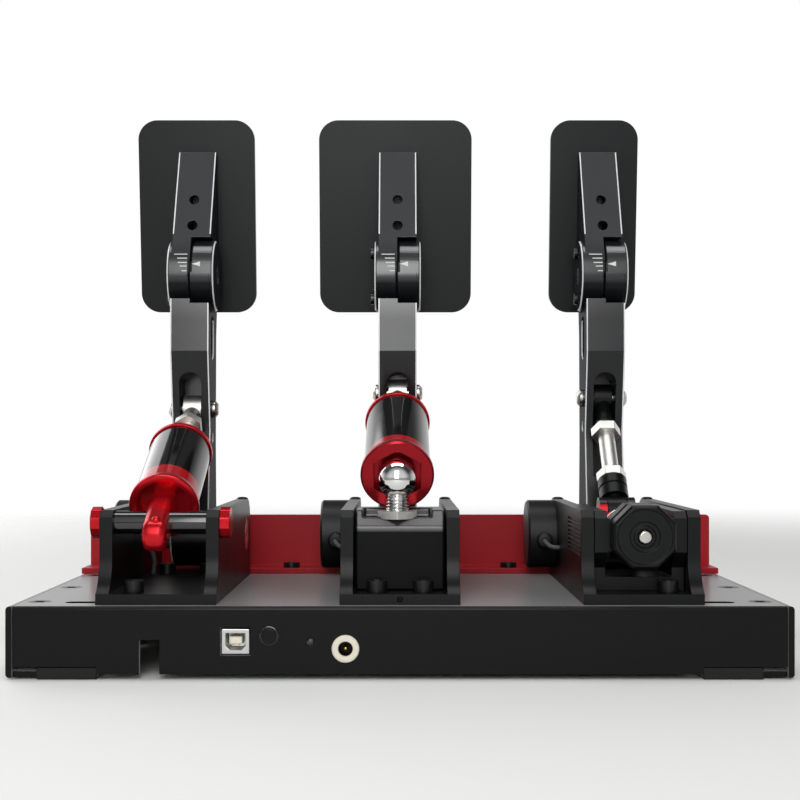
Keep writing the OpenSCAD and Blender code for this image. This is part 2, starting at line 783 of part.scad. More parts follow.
// Countersunk screws that hold the plate to the side rails
module rail_screws() color(steel) from_front() at_rail_screws() {
    deep = sheet_t + rail_screw_end;
    difference() {
        union() {
            countersink(0);
            translate([0, 0, plate_under - deep]) cylinder(r = bolt_r, h = deep + cut);
        }
        translate([0, 0, base_h - sheet_t / 2]) cylinder(r = bolt_r, h = sheet_t, $fn = 6);
    }
}

// A foot slides over the end of a flange, so the flange lies in its slot
module rubber_feet() color(rubber) from_front()
    for (sx = [-1, 1], back = [0, 1])
        translate([sx * (base_w / 2 - flange_w + foot_w / 2), back * base_d, 0]) mirror([0, back, 0])
            difference() {
                translate([0, foot_l / 2, foot_h / 2]) cube([foot_w, foot_l, foot_h], center = true);
                translate([0, foot_lip + foot_l / 2, flange_lift + sheet_t / 2])
                    cube([foot_w + 2 * over, foot_l, sheet_t], center = true);
            }

// Upright bar with a foot that lies on the plate between the bar and the modules
module heel_bar() color(red) from_front() translate([0, heel_d, base_h]) difference() {
    union() {
        translate([0, heel_t, 0]) rotate([90, 0, 0]) linear_extrude(heel_t) {
            translate([-base_w / 2, 0]) square([base_w, heel_h - heel_r]);
            translate([-base_w / 2 + heel_r, 0]) square([base_w - 2 * heel_r, heel_h]);
            for (s = [-1, 1]) translate([s * (base_w / 2 - heel_r), heel_h - heel_r]) circle(heel_r);
        }
        block([-base_w / 2, -heel_foot, 0], [base_w / 2, cut, heel_t]);
    }
    across(-base_w / 2 - over, base_w / 2 + over) difference() {
        translate([heel_t - heel_r, -over]) square(heel_r + over);
        translate([heel_t - heel_r, heel_r]) circle(heel_r);
    }
    for (s = [-1, 1]) translate([s * heel_screw_pitch / 2, heel_screw_d - heel_d, -over])
        cylinder(r = bolt_r + press_gap, h = heel_t + 2 * over);
}

// Button head screws of the heel bar, with their nuts under the plate
module heel_bar_screws() color(black) from_front() for (s = [-1, 1])
    translate([s * heel_screw_pitch / 2, heel_screw_d, 0]) {
        translate([0, 0, base_h + heel_t])
            cap_screw(bolt_r, heel_t + sheet_t + m5_nut_t + 1, heel_head_r, heel_button_h);
        translate([0, 0, plate_under - m5_nut_t]) nut(m5_nut_w, m5_nut_t, bolt_r + press_gap);
    }

module controller_board() color("#1f5a37") from_front() {
    difference() {
        block([board_x[0], board_d[0], board_top - board_t], [board_x[1], board_d[1], board_top]);
        for (p = board_hole_at) translate([p.x, p.y, board_top - board_t - over])
            cylinder(r = board_screw_r + press_gap, h = board_t + 2 * over);
    }
    // Switch behind the button, main chip and the three lead headers
    block([button_x - switch_half, stem_end + button_travel + switch_gap, board_top - cut],
          [button_x + switch_half, switch_back, button_z + switch_half]);
    block([button_x - chip_half, chip_d - chip_half, board_top - cut],
          [button_x + chip_half, chip_d + chip_half, board_top + chip_t]);
    for (x = lead_header_x)
        block([x - header_half, lead_header_d - header_half, board_top - cut],
              [x + header_half, lead_header_d + header_half, board_top + header_t]);
}

// Hexagonal standoffs that hang the board from the plate, each with its screw
module board_standoffs() color(brass) from_front() for (p = board_hole_at) translate([p.x, p.y, 0]) {
    translate([0, 0, board_top]) cylinder(r = standoff_r, h = plate_under - board_top, $fn = 6);
    translate([0, 0, board_top - board_t]) cylinder(r = board_screw_r, h = board_t + cut);
    translate([0, 0, board_top - 2 * board_t]) cylinder(r = standoff_r, h = board_t);
}

// Square data socket with its contact block, open to the front
module usb_socket() color(steel) from_front() translate([usb_x, 0, usb_z]) {
    shell = 0.6;
    deep = 16;
    mouth = 9;
    bevel = 1.6;
    rotate([90, 0, 0]) translate([0, 0, -deep]) difference() {
        linear_extrude(deep) square([usb_w, usb_h], center = true);
        translate([0, 0, deep - mouth]) linear_extrude(mouth + over) difference() {
            square([usb_w - 2 * shell, usb_h - 2 * shell], center = true);
            for (s = [-1, 1])
                translate([s * (usb_w / 2 - shell), usb_h / 2 - shell]) rotate(45)
                    square(bevel * sqrt(2), center = true);
            translate([0, -0.4]) square([5.6, 3.2], center = true);
        }
    }
}

// Round power socket clamped through the skirt by its own flange and nut
module power_socket() color("#cfc6a8") from_front() translate([jack_x, 0, jack_z]) {
    deep = 12;
    flange = 0.8;
    spun_y() difference() {
        polygon([
            [0, deep], [jack_barrel_r, deep], [jack_barrel_r, sheet_t + 3], [jack_r, sheet_t + 3],
            [jack_r, sheet_t], [jack_barrel_r, sheet_t], [jack_barrel_r, 0], [jack_r, 0],
            [jack_r, -flange], [jack_bore_r, -flange], [jack_bore_r, deep - 3], [0, deep - 3]
        ]);
    }
    spun_y() polygon([[0, 0.5], [jack_pin_r, 0.5], [jack_pin_r, deep - 3 + cut], [0, deep - 3 + cut]]);
}

// Light in the skirt on its own bent holder, which stands on the board
module status_led() color("#e8eaf0") from_front() {
    translate([led_x, 0, led_z]) spun_y()
        polygon([[0, -0.4], [led_r * 0.7, -0.2], [led_r, 0.4], [led_r, 8], [0, 8]]);
    block([led_x - led_r, 6, board_top], [led_x + led_r, 8, led_z]);
}

module reset_button() color(black) from_front() translate([button_x, 0, button_z]) {
    out = 1.3;
    flange_d = sheet_t + 0.8;
    spun_y() polygon([
        [0, -out], [button_r - 0.5, -out], [button_r, 0.5 - out], [button_r, flange_d],
        [button_r + 1, flange_d], [button_r + 1, flange_d + 1.2], [1.5, flange_d + 1.2],
        [1.5, stem_end], [0, stem_end]
    ]);
}

// Side of a module frame in depth and height, with its cove, chamfer and round corner
module wall_outline() difference() {
    union() {
        translate([wall_front, 0]) square([frame_back - wall_front, wall_h]);
        translate([frame_front, 0]) square([cove_run + cut, floor_t + cove_h]);
    }
    translate([wall_front - cove_r, floor_t + cove_h]) circle(cove_r);
    translate([wall_front, wall_h]) rotate(45) square(wall_chamfer * sqrt(2), center = true);
    difference() {
        translate([frame_back - wall_rear_r, wall_h - wall_rear_r]) square(wall_rear_r + over);
        translate([frame_back - wall_rear_r, wall_h - wall_rear_r]) circle(wall_rear_r);
    }
}

// Channel of floor and side walls that all three modules share
module frame_channel(k) difference() {
    union() {
        block([-frame_w / 2, frame_front, 0], [frame_w / 2, frame_back, floor_t]);
        for (x = [-frame_w / 2, inner_half]) across(x, x + wall_t) wall_outline();
    }
    bar_x(bearing_r + press_gap, -frame_w / 2 - over, frame_w / 2 + over, [pivot_d, pivot_h]);
    for (x = front_bolts[k]) translate([x, front_bolt_d, 0]) frame_hole();
    for (x = rear_bolts) translate([x, rear_bolt_d, 0]) frame_hole();
    for (s = [-1, 1]) translate([s * (frame_w - wall_t) / 2, clamp_d, wall_h - clamp_bite])
        cylinder(r = clamp_r + press_gap, h = clamp_bite + over);
    bar_x(lead_hole_r, -frame_w / 2 - over, -inner_half + over, [lead_hole_d, lead_hole_h]);
    translate([lead_drop_x, lead_hole_d, -over]) cylinder(r = lead_hole_r, h = floor_t + 2 * over);
}

module frame_hole() translate([0, 0, -over]) cylinder(r = bolt_r + bolt_clear, h = floor_t + 2 * over);

module throttle_frame() color(black) at_module(THROTTLE) difference() {
    frame_channel(THROTTLE);
    bar_x(shaft_r + press_gap, -frame_w / 2 - over, frame_w / 2 + over, [shaft_d, shaft_h]);
}

module brake_frame() color(black) at_module(BRAKE) difference() {
    frame_channel(BRAKE);
    translate([0, frame_front - over, floor_t / 2]) rotate([-90, 0, 0]) cylinder(r = 1.25, h = 6);
}

// The clutch frame has a pocket of louvres in its left wall
module clutch_frame() color(black) at_module(CLUTCH) difference() {
    frame_channel(CLUTCH);
    for (i = [0 : louvres - 1])
        block([-frame_w / 2 - over, wall_front + 4, louvre_h + i * louvre_pitch],
              [-frame_w / 2 + louvre_deep, louvre_end, louvre_h + i * louvre_pitch + louvre_pitch / 2]);
}

module frame_bolts() color(black) for (k = [0 : 2]) at_module(k) {
    for (x = front_bolts[k]) translate([x, front_bolt_d, 0]) frame_bolt();
    for (x = rear_bolts) translate([x, rear_bolt_d, 0]) frame_bolt();
}

// Bolt through a frame's floor and the plate, with a flanged nut under the plate
module frame_bolt() {
    translate([0, 0, floor_t]) cap_screw(bolt_r, floor_t + sheet_t + m5_nut_t + 1, bolt_head_r, bolt_head_h);
    translate([0, 0, -sheet_t - m5_nut_t]) difference() {
        union() {
            linear_extrude(m5_nut_t) hexagon(m5_nut_w);
            translate([0, 0, m5_nut_t - 1]) cylinder(r = m5_flange_r, h = 1);
        }
        translate([0, 0, -over]) cylinder(r = bolt_r + press_gap, h = m5_nut_t + 2 * over);
    }
}

module clamp_screws() color(black) for (k = [0 : 2], s = [-1, 1])
    at_module(k) translate([s * (frame_w - wall_t) / 2, clamp_d, wall_h])
        cap_screw(clamp_r, clamp_bite - 1, clamp_head_r, clamp_head_h);

// Flanged bush in each wall of each frame
module pivot_bearings() color(steel) for (k = [0 : 2], s = [-1, 1])
    at_module(k) translate([s * inner_half, pivot_d, pivot_h]) mirror([s < 0 ? 1 : 0, 0, 0]) spun_x()
        polygon([
            [pivot_r + run_gap, -bearing_flange], [bearing_flange_r, -bearing_flange], [bearing_flange_r, 0],
            [bearing_r, 0], [bearing_r, wall_t], [pivot_r + run_gap, wall_t]
        ]);

// Round angle sensor on the outside of each left wall, with its lead's grommet
module pivot_sensors() color(black) for (k = [0 : 2]) at_module(k) {
    translate([-frame_w / 2, pivot_d, pivot_h]) mirror([1, 0, 0]) spun_x()
        polygon([
            [sensor_pocket_r, 0], [sensor_r, 0], [sensor_r, sensor_l - sensor_chamfer],
            [sensor_r - sensor_chamfer, sensor_l], [0, sensor_l],
            [0, shaft_in_sensor + 2], [sensor_pocket_r, shaft_in_sensor + 2]
        ]);
    translate([lead_exit_x, grommet_d, lead_exit_h]) rotate([-90, 0, 0])
        cylinder(r = grommet_r, h = grommet_l + 3);
}

// Short leads from the sensors through the wall and the floor to the board
module sensor_leads() color("#8b8d90") for (k = [0 : 2]) at_module(k)
    tube(spline(lead_route(k), 2), lead_r, 8);
function lead_route(k) =
    let (end_x = lead_header_x[k] - module_x[k], run_x = end_x - lead_drop_x)
    [
        [lead_exit_x, grommet_d - 0.1, lead_exit_h],
        [lead_exit_x, grommet_d - 3, lead_exit_h - 0.5],
        [lead_exit_x + 2.5, lead_hole_d + 0.8, lead_hole_h + 0.4],
        [-frame_w / 2 + 1, lead_hole_d, lead_hole_h],
        [-inner_half + 0.4, lead_hole_d, lead_hole_h - 0.4],
        [lead_drop_x, lead_hole_d, lead_hole_h - 4],
        [lead_drop_x, lead_hole_d, floor_t],
        [lead_drop_x, lead_hole_d, lead_low + 4],
        [lead_drop_x + 0.1 * run_x, lead_hole_d - 5, lead_low - 0.5],
        [lead_drop_x + 0.55 * run_x, lead_hole_d - 28, lead_low - 1],
        [end_x, lead_header_d + 7, lead_low],
        [end_x, lead_header_d + 0.6, lead_low - 2],
        [end_x, lead_header_d, lead_header_h + 0.1]
    ];

// Side of the lower arm in depth and height
module lower_arm_outline() {
    translate([pivot_d, pivot_h]) circle(arm_foot_r);
    polygon([
        [pivot_d - arm_foot_r, pivot_h], arm_waist, arm_knee, [hinge_d - hinge_r, hinge_h],
        [hinge_d + hinge_r, hinge_h], arm_back_top, arm_back_low, [pivot_d + arm_foot_r, pivot_h]
    ]);
}

// Disc of the tilt hinge with chamfered rims, from one place across the width to another
module hinge_disc(x0, x1) translate([x0, hinge_d, hinge_h]) spun_x() polygon([
    [0, 0], [hinge_r - hinge_chamfer, 0], [hinge_r, hinge_chamfer], [hinge_r, x1 - x0 - hinge_chamfer],
    [hinge_r - hinge_chamfer, x1 - x0], [0, x1 - x0]
]);

// Lower arm: a fork at the link pin, a window, and half of the tilt hinge on its right
module lower_arm(k) color(black) at_module(k) {
    back_d = min(arm_back_low.x, arm_back_top.x) - clevis_back;
    split_x = arm_x + hinge_split;
    difference() {
        union() {
            across(arm_x - arm_w / 2, arm_x + arm_w / 2) lower_arm_outline();
            hinge_disc(split_x, arm_x + hinge_w / 2);
        }
        // Room for the upper arm's half of the hinge on the left
        bar_x(hinge_clear_r, arm_x - arm_w, split_x, [hinge_d, hinge_h]);
        block([arm_x - arm_w, pivot_d - reach, hinge_h - knuckle_drop],
              [split_x, pivot_d + reach, hinge_h + hinge_r + over]);
        // Fork with an arched top, closed at the back
        block([arm_x - clevis_w / 2, pivot_d - reach, pivot_h + clevis_low],
              [arm_x + clevis_w / 2, back_d, pivot_h + clevis_top - clevis_w / 2]);
        translate([arm_x, pivot_d - reach, pivot_h + clevis_top - clevis_w / 2]) rotate([-90, 0, 0])
            cylinder(r = clevis_w / 2, h = back_d - pivot_d + reach);
        across(arm_x - arm_w, arm_x + arm_w) translate(window_mid) rotate(90) slot(window_h, window_w / 2);
        bar_x(pivot_r + press_gap, arm_x - arm_w, arm_x + arm_w, [pivot_d, pivot_h]);
        for (h = [link_h[k], link_h[k] - spare_drop])
            bar_x(link_r + press_gap, arm_x - arm_w, arm_x + arm_w, [link_d, h]);
        bar_x(axle_r + press_gap, arm_x - hinge_w, arm_x + hinge_w, [hinge_d, hinge_h]);
        for (s = [-1, 1])
            bar_x(lock_screw_r + press_gap, arm_x, arm_x + lock_bite + over, [hinge_d, hinge_h + s * lock_r]);
    }
}

// Pivot shaft with its two spacers, link pin, hinge axle and the screws that lock the tilt
module arm_pins(k) color(steel) at_module(k) {
    spacer_end = inner_half - bearing_flange - move_gap;
    left = arm_x - hinge_w / 2;
    end = arm_w / 2;
    tip = end + link_head_h;
    bar_x(pivot_r, -frame_w / 2 - shaft_in_sensor, frame_w / 2, [pivot_d, pivot_h]);
    for (span = [[-spacer_end, arm_x - end], [arm_x + end, spacer_end]])
        translate([span[0], pivot_d, pivot_h]) spun_x() polygon([
            [pivot_r + press_gap, 0], [spacer_r, 0], [spacer_r, span[1] - span[0]],
            [pivot_r + press_gap, span[1] - span[0]]
        ]);
    translate([arm_x, link_d, link_h[k]]) spun_x() polygon([
        [0, -tip], [link_head_r * 0.6, -tip], [link_head_r, -end - link_head_h / 2], [link_head_r, -end],
        [link_r, -end], [link_r, end], [link_head_r, end], [link_head_r, end + link_head_h / 2],
        [link_head_r * 0.6, tip], [0, tip]
    ]);
    bar_x(axle_r, left, arm_x + hinge_w / 2, [hinge_d, hinge_h]);
    for (s = [-1, 1]) translate([left - move_gap, hinge_d, hinge_h + s * lock_r]) rotate([0, -90, 0])
        cap_screw(lock_screw_r, hinge_w / 2 + move_gap + lock_bite, lock_head_r, lock_head_h);
}

// Upper arm: half of the hinge on the left and a wedge whose back lies on the face
module upper_arm(k) color(black) at_module(k) {
    split_x = arm_x - hinge_split;
    wedge_low = hinge_h + hinge_clear_r;
    wedge = [
        [face_d - 8.5, upper_top_h], [hinge_d - 11, wedge_low], [hinge_d - hinge_r + 1.2, hinge_h + 6],
        [hinge_d, hinge_h], [hinge_d + hinge_r, hinge_h + 2],
        [face_d + reach, wedge_low], [face_d + reach, upper_top_h]
    ];
    difference() {
        union() {
            across(arm_x - arm_w / 2, arm_x + arm_w / 2) polygon(wedge);
            hinge_disc(arm_x - hinge_w / 2, split_x);
        }
        on_face() translate([-arm_w * 2, 0, -face_h]) cube([arm_w * 4, 2 * reach, 2 * face_h]);
        // Room for the lower arm's half of the hinge on the right
        block([split_x, pivot_d - reach, hinge_h - hinge_r - over],
              [arm_x + hinge_w, face_d + reach, wedge_low]);
        bar_x(axle_r + run_gap, arm_x - hinge_w, arm_x + hinge_w, [hinge_d, hinge_h]);
        for (s = [-1, 1]) across(arm_x - hinge_w, split_x + over)
            translate([hinge_d, hinge_h + s * lock_r])
                slot(2 * (lock_r * sin(tilt_max) + lock_slot_r), lock_slot_r);
        for (up = face_screw_up) on_face() translate([arm_x - face_x, 0, up]) rotate([90, 0, 0]) {
            translate([0, 0, -over]) cylinder(r = face_screw_r + press_gap, h = reach);
            translate([0, 0, face_seat]) cylinder(r = face_head_r + move_gap, h = reach);
        }
    }
}

module pedal_face(k) color(black) at_module(k) on_face() difference() {
    translate([0, face_t, 0]) rotate([90, 0, 0]) linear_extrude(face_t) round_rect(face_w[k], face_h, face_r);
    for (up = face_screw_up) translate([arm_x - face_x, -over, up]) rotate([-90, 0, 0])
        cylinder(r = face_screw_r + press_gap, h = face_bite + over);
}

module face_screws(k) color(black) at_module(k) on_face()
    for (up = face_screw_up) translate([arm_x - face_x, -face_seat, up]) rotate([90, 0, 0])
        cap_screw(face_screw_r, face_seat + face_bite - 0.2, face_head_r, face_head_h);

module throttle_cross_shaft() color(gloss) at_module(THROTTLE)
    bar_x(shaft_r, -frame_w / 2, frame_w / 2, damper_foot);

// Faceted knobs that close the cross shaft outside both walls
module throttle_shaft_knobs() color(red) at_module(THROTTLE) for (s = [-1, 1])
    translate([s * frame_w / 2, shaft_d, shaft_h]) rotate([0, s * 90, 0])
        cylinder(r = knob_r, h = knob_t, $fn = 10);

// Tongue with the shaft's eye, and the dished lower cap of the damper
module throttle_damper_eye() color(red) at_module(THROTTLE) on_link(damper_foot, damper_tilt) {
    rim = 2.5;
    floor_u = damper_cap_u + 6;
    tongue_r = 3.5;
    inner = damper_tube_r - tube_t;
    difference() {
        union() {
            across(-tongue_w / 2, tongue_w / 2) translate([(floor_u + tongue_r - tongue_out) / 2, 0])
                round_rect(floor_u + tongue_r + tongue_out, tongue_h, tongue_r);
            spun_y() polygon([
                [0, floor_u], [damper_cap_r - rim, floor_u], [damper_cap_r - rim, damper_cap_u],
                [damper_cap_r, damper_cap_u], [damper_cap_r, damper_cap_u + rim],
                [damper_tube_r, damper_cap_u + tube_lap], [inner - press_gap, damper_cap_u + tube_lap],
                [inner - press_gap, damper_plug_u], [0, damper_plug_u]
            ]);
        }
        bar_x(shaft_r + run_gap, -tongue_w, tongue_w, [0, 0]);
    }
}

module throttle_damper_tube() color(gloss) at_module(THROTTLE) on_link(damper_foot, damper_tilt)
    tube_wall(damper_tube_r, damper_cap_u + tube_lap, damper_end_u - collar_t);

// Straight tube along a linkage
module tube_wall(r, u0, u1) spun_y() polygon([[r - tube_t, u0], [r, u0], [r, u1], [r - tube_t, u1]]);

module throttle_damper_collar() color(red) at_module(THROTTLE) on_link(damper_foot, damper_tilt)
    collar(damper_collar_r, damper_tube_r, damper_end_u);

// Collar that closes a tube and guides its rod
module collar(r, tube_r, end_u) spun_y() polygon([
    [rod_r + run_gap, end_u - collar_t - plug_l], [tube_r - tube_t - press_gap, end_u - collar_t - plug_l],
    [tube_r - tube_t - press_gap, end_u - collar_t], [r, end_u - collar_t],
    [r, end_u - collar_bevel], [r - collar_bevel, end_u], [rod_r + run_gap, end_u]
]);

// Push rod with its piston and its eye, and the lock nut behind the eye
module push_rod(l, tube_r, end_u) {
    piston_u = end_u - collar_t - plug_l - piston_gap;
    difference() {
        union() {
            spun_y() polygon([
                [0, piston_u - piston_t], [tube_r - tube_t - move_gap, piston_u - piston_t],
                [tube_r - tube_t - move_gap, piston_u], [rod_r, piston_u],
                [rod_r, l - rod_eye_r + 1], [0, l - rod_eye_r + 1]
            ]);
            bar_x(rod_eye_r, -rod_eye_w / 2, rod_eye_w / 2, [l, 0]);
        }
        bar_x(link_r + eye_gap, -rod_eye_w, rod_eye_w, [l, 0]);
    }
    translate([0, l - rod_nut_back, 0]) rotate([90, 0, 0]) rotate(30)
        nut(rod_nut_w, rod_nut_t, rod_r + press_gap);
}

module throttle_damper_rod() color(steel) at_module(THROTTLE) on_link(damper_foot, damper_tilt)
    push_rod(damper_l, damper_tube_r, damper_end_u);

// Return spring between the lower cap and the piston
module throttle_spring() color(steel) at_module(THROTTLE) on_link(damper_foot, damper_tilt)
    tube(damper_helix, damper_wire_r, 6);
echo(throttle_spring_gap = least_gap(damper_helix, damper_wire_r));

// Block over the load cell: bevelled in front, with a pocket for the stud's nut
module brake_load_block() color(black) at_module(BRAKE) difference() {
    half = inner_half - 2 * move_gap;
    across(-half, half) polygon([
        [block_front, floor_t], [block_front, block_h - block_chamfer],
        [block_front + block_chamfer, block_h], [block_back, block_h], [block_back, floor_t]
    ]);
    translate([arm_x, ball_d, stud_nut_low]) rotate(30) linear_extrude(block_h)
        hexagon(stud_nut_w + 2 * move_gap);
    block([arm_x - pocket_half, pocket_front, stud_nut_low],
          [arm_x + pocket_half, pocket_back, block_h + over]);
    translate([arm_x, ball_d, stud_end]) cylinder(r = stud_r + press_gap, h = block_h);
}

// Polished ball on a ribbed stud that stands in the block
module brake_ball_stud() color(steel) at_module(BRAKE) translate([arm_x, ball_d, 0]) {
    ribs = 4;
    rib = 1.5;
    neck = ball_h - ball_r + 1;
    translate([0, 0, ball_h]) sphere(ball_r);
    spun() polygon(concat(
        [[0, stud_end], [stud_r, stud_end], [stud_r, neck - ribs * rib - 0.5]],
        [for (i = [0 : ribs - 1], e = [0, 1, 2, 3])
            [stud_r - (e % 3 == 0 ? 0.6 : 0), neck - (ribs - i) * rib + rib * [0.05, 0.3, 0.7, 0.95][e]]],
        [[stud_r - 0.6, neck + 1], [0, neck + 1]]
    ));
}

module brake_stud_nut() color(steel) at_module(BRAKE)
    translate([arm_x, ball_d, stud_nut_low]) rotate(30) nut(stud_nut_w, stud_nut_t, stud_r + press_gap);

// Lower cap of the brake cylinder: a hexagonal recess with a cup that rides on the ball
module brake_socket_cap() color(red) at_module(BRAKE) on_link(brake_foot, brake_tilt) {
    rim = 3;
    recess = 5;
    inner = brake_tube_r - tube_t;
    difference() {
        spun_y() polygon([
            [0, cap_u], [cap_r - 0.8, cap_u], [cap_r, cap_u + 0.8], [cap_r, cap_u + rim],
            [brake_tube_r, cap_u + tube_lap], [inner - press_gap, cap_u + tube_lap],
            [inner - press_gap, brake_plug_u], [0, brake_plug_u]
        ]);
        translate([0, cap_u + recess, 0]) rotate([90, 0, 0]) linear_extrude(recess + over) difference() {
            rotate(30) hexagon(cap_recess_w);
            circle(cap_seat_r);
        }
        sphere(ball_r + 2 * run_gap);
    }
}

module brake_cylinder() color(gloss) at_module(BRAKE) on_link(brake_foot, brake_tilt)
    tube_wall(brake_tube_r, cap_u + tube_lap, brake_end_u - collar_t);

module brake_collar() color(red) at_module(BRAKE) on_link(brake_foot, brake_tilt)
    collar(brake_collar_r, brake_tube_r, brake_end_u);

module brake_rod() color(steel) at_module(BRAKE) on_link(brake_foot, brake_tilt)
    push_rod(brake_l, brake_tube_r, brake_end_u);

// Stack of rubber rings between the socket cap and the piston
module brake_elastomers() color("#7a1016") at_module(BRAKE) on_link(brake_foot, brake_tilt) {
    step = (brake_piston_u - brake_plug_u) / elastomers;
    r = brake_tube_r - tube_t - 0.6;
    for (i = [0 : elastomers - 1]) {
        u0 = brake_plug_u + i * step + elastomer_gap / 2;
        u1 = u0 + step - elastomer_gap;
        mid = (u0 + u1) / 2;
        spun_y() polygon([
            [elastomer_bore, u0], [r - 1, u0], [r, u0 + 1], [r - 0.6, mid],
            [r, u1 - 1], [r - 1, u1], [elastomer_bore, u1]
        ]);
    }
}

// Inner cradle of the clutch: two walls and a floor, with lips that hold the spring cup
module clutch_cradle() color(black) at_module(CLUTCH) difference() {
    union() {
        for (s = [-1, 1]) across(s < 0 ? -cradle_out : cradle_half, s < 0 ? -cradle_half : cradle_out)
            polygon([
                [cradle_toe, floor_t], [cradle_toe, floor_t + cove_h - 5],
                [wall_front, floor_t + cove_h + 2],
                [wall_front, cradle_top - wall_chamfer], [wall_front + wall_chamfer, cradle_top],
                [cradle_back, cradle_top], [cradle_back, floor_t]
            ]);
        block([-cradle_half - cut, cradle_toe, floor_t],
              [cradle_half + cut, cradle_floor_end, floor_t + cradle_floor]);
        for (s = [-1, 1])
            translate([s * (cradle_half - lip_t / 2), wall_front + lip_d / 2, spring_h])
                cube([lip_t + 2 * cut, lip_d, 14], center = true);
    }
    bar_x(rocker_pin_r + press_gap, -cradle_out - over, cradle_out + over, rocker);
}

module clutch_rocker_pin() color(steel) at_module(CLUTCH)
    bar_x(rocker_pin_r, -cradle_out, cradle_out, rocker);

// Rocker: two cheeks on a hub, with round noses that push the spring and a pin for the rod
module clutch_rocker() color(red) at_module(CLUTCH) {
    gap = rod_eye_w / 2 + move_gap;
    cheek_r = rod_eye_r;
    hub_end = cradle_half - move_gap;
    difference() {
        union() {
            bar_x(rocker_hub_r, -hub_end, hub_end, rocker);
            for (x = [arm_x - gap - cheek_t, arm_x + gap]) across(x, x + cheek_t) {
                translate(rocker) circle(rocker_hub_r);
                translate(crank) circle(cheek_r);
                translate(nose) circle(nose_r);
                polygon([
                    rocker + [rocker_hub_r * 0.98, 1], crank + [cheek_r * 0.98, -1],
                    crank - [cheek_r * 0.98, 1], nose - [nose_r * 0.98, -1],
                    nose - [nose_r * 0.9, 2], rocker - [rocker_hub_r * 0.98, -1]
                ]);
            }
        }
        bar_x(rocker_pin_r + run_gap, -hub_end - over, hub_end + over, rocker);
        bar_x(link_r + press_gap, -hub_end, hub_end, crank);
    }
    bar_x(link_r, arm_x - gap - cheek_t, arm_x + gap + cheek_t, crank);
}

// Guide bolt inside the spring, with the seat that the rocker pushes
module clutch_guide_bolt() color(steel) at_module(CLUTCH) translate([0, 0, spring_h]) spun_y() polygon([
    [0, preload_front - 0.6], [guide_r - 0.5, preload_front - 0.6], [guide_r, preload_front - 0.1],
    [guide_r, seat_back - seat_t], [seat_r, seat_back - seat_t], [seat_r, seat_back], [0, seat_back]
]);

module clutch_spring() color("#303034") at_module(CLUTCH) translate([0, 0, spring_h])
    tube(clutch_helix, wire_r, 6);
echo(clutch_spring_gap = least_gap(clutch_helix, wire_r));

// Octagonal prism along the depth, bevelled round its front face
module octagon(d0, d1) rotate([-90, 0, 0]) rotate(22.5) {
    translate([0, 0, d0])
        cylinder(r1 = octagon_r - octagon_bevel, r2 = octagon_r, h = octagon_bevel, $fn = 8);
    translate([0, 0, d0 + octagon_bevel]) cylinder(r = octagon_r, h = d1 - d0 - octagon_bevel, $fn = 8);
}

// Cup that takes the spring's front end and bears on the cradle's lips
module clutch_spring_cup() color(black) at_module(CLUTCH) translate([0, 0, spring_h]) difference() {
    octagon(cup_front, cup_front + cup_t);
    spun_y() polygon([
        [0, cup_front + cup_floor], [spring_r + wire_r + 0.5, cup_front + cup_floor],
        [spring_r + wire_r + 0.5, cup_front + cup_t + over], [0, cup_front + cup_t + over]
    ]);
    rotate([-90, 0, 0]) cylinder(r = sleeve_r + run_gap, h = cup_front + cup_t);
}

// Black knob with a ringed face, whose sleeve turns in the cup
module clutch_preload_knob() color(black) at_module(CLUTCH) translate([0, 0, spring_h]) difference() {
    union() {
        octagon(preload_front, preload_back);
        spun_y() polygon([
            [0, preload_back - over], [sleeve_r, preload_back - over], [sleeve_r, sleeve_end], [0, sleeve_end]
        ]);
    }
    spun_y() polygon([
        [0, preload_front - over], [knob_dish_r, preload_front - over], [knob_dish_r, preload_front + 0.6],
        [knob_ring_r, preload_front + 0.6], [knob_ring_r, preload_front + 1.6],
        [knob_mouth_r, preload_front + 1.6], [knob_mouth_r, preload_front + 1], [0, preload_front + 1]
    ]);
    rotate([-90, 0, 0]) cylinder(r = guide_r + move_gap, h = cup_front + cup_t);
}

// Threaded rod of the clutch with its two lock nuts
module clutch_rod() color(steel) at_module(CLUTCH) on_link(crank, clutch_tilt) {
    rod_start = lower_socket_l - rod_bite;
    rod_stop = clutch_l - upper_socket_l + rod_bite;
    translate([0, rod_start, 0]) rotate([-90, 0, 0]) cylinder(r = clutch_rod_r, h = rod_stop - rod_start);
    for (u = [lower_socket_l + rod_nut_t, clutch_l - upper_socket_l])
        translate([0, u, 0]) rotate([90, 0, 0]) nut(rod_nut_w, rod_nut_t, clutch_rod_r + press_gap);
}

// Rod ends of the clutch: a thick grooved one below and a slim one above
module clutch_rod_ends() color(black) at_module(CLUTCH) on_link(crank, clutch_tilt) {
    groove = 0.5;
    rod_end(link_r + run_gap, lower_socket_l) polygon([
        [0, 0], [neck_r, 0], [neck_r, rod_eye_r + move_gap], [clutch_socket_r, rod_eye_r + move_gap],
        [clutch_socket_r, lower_socket_l - 6], [clutch_socket_r - groove, lower_socket_l - 6],
        [clutch_socket_r - groove, lower_socket_l - 5], [clutch_socket_r, lower_socket_l - 5],
        [clutch_socket_r, lower_socket_l], [0, lower_socket_l]
    ]);
    translate([0, clutch_l, 0]) mirror([0, 1, 0]) rod_end(link_r + eye_gap, upper_socket_l) polygon([
        [0, 0], [neck_r, 0], [neck_r, upper_socket_l - 4], [clutch_rod_r + 1, upper_socket_l - 3],
        [clutch_rod_r + 1, upper_socket_l], [0, upper_socket_l]
    ]);
}

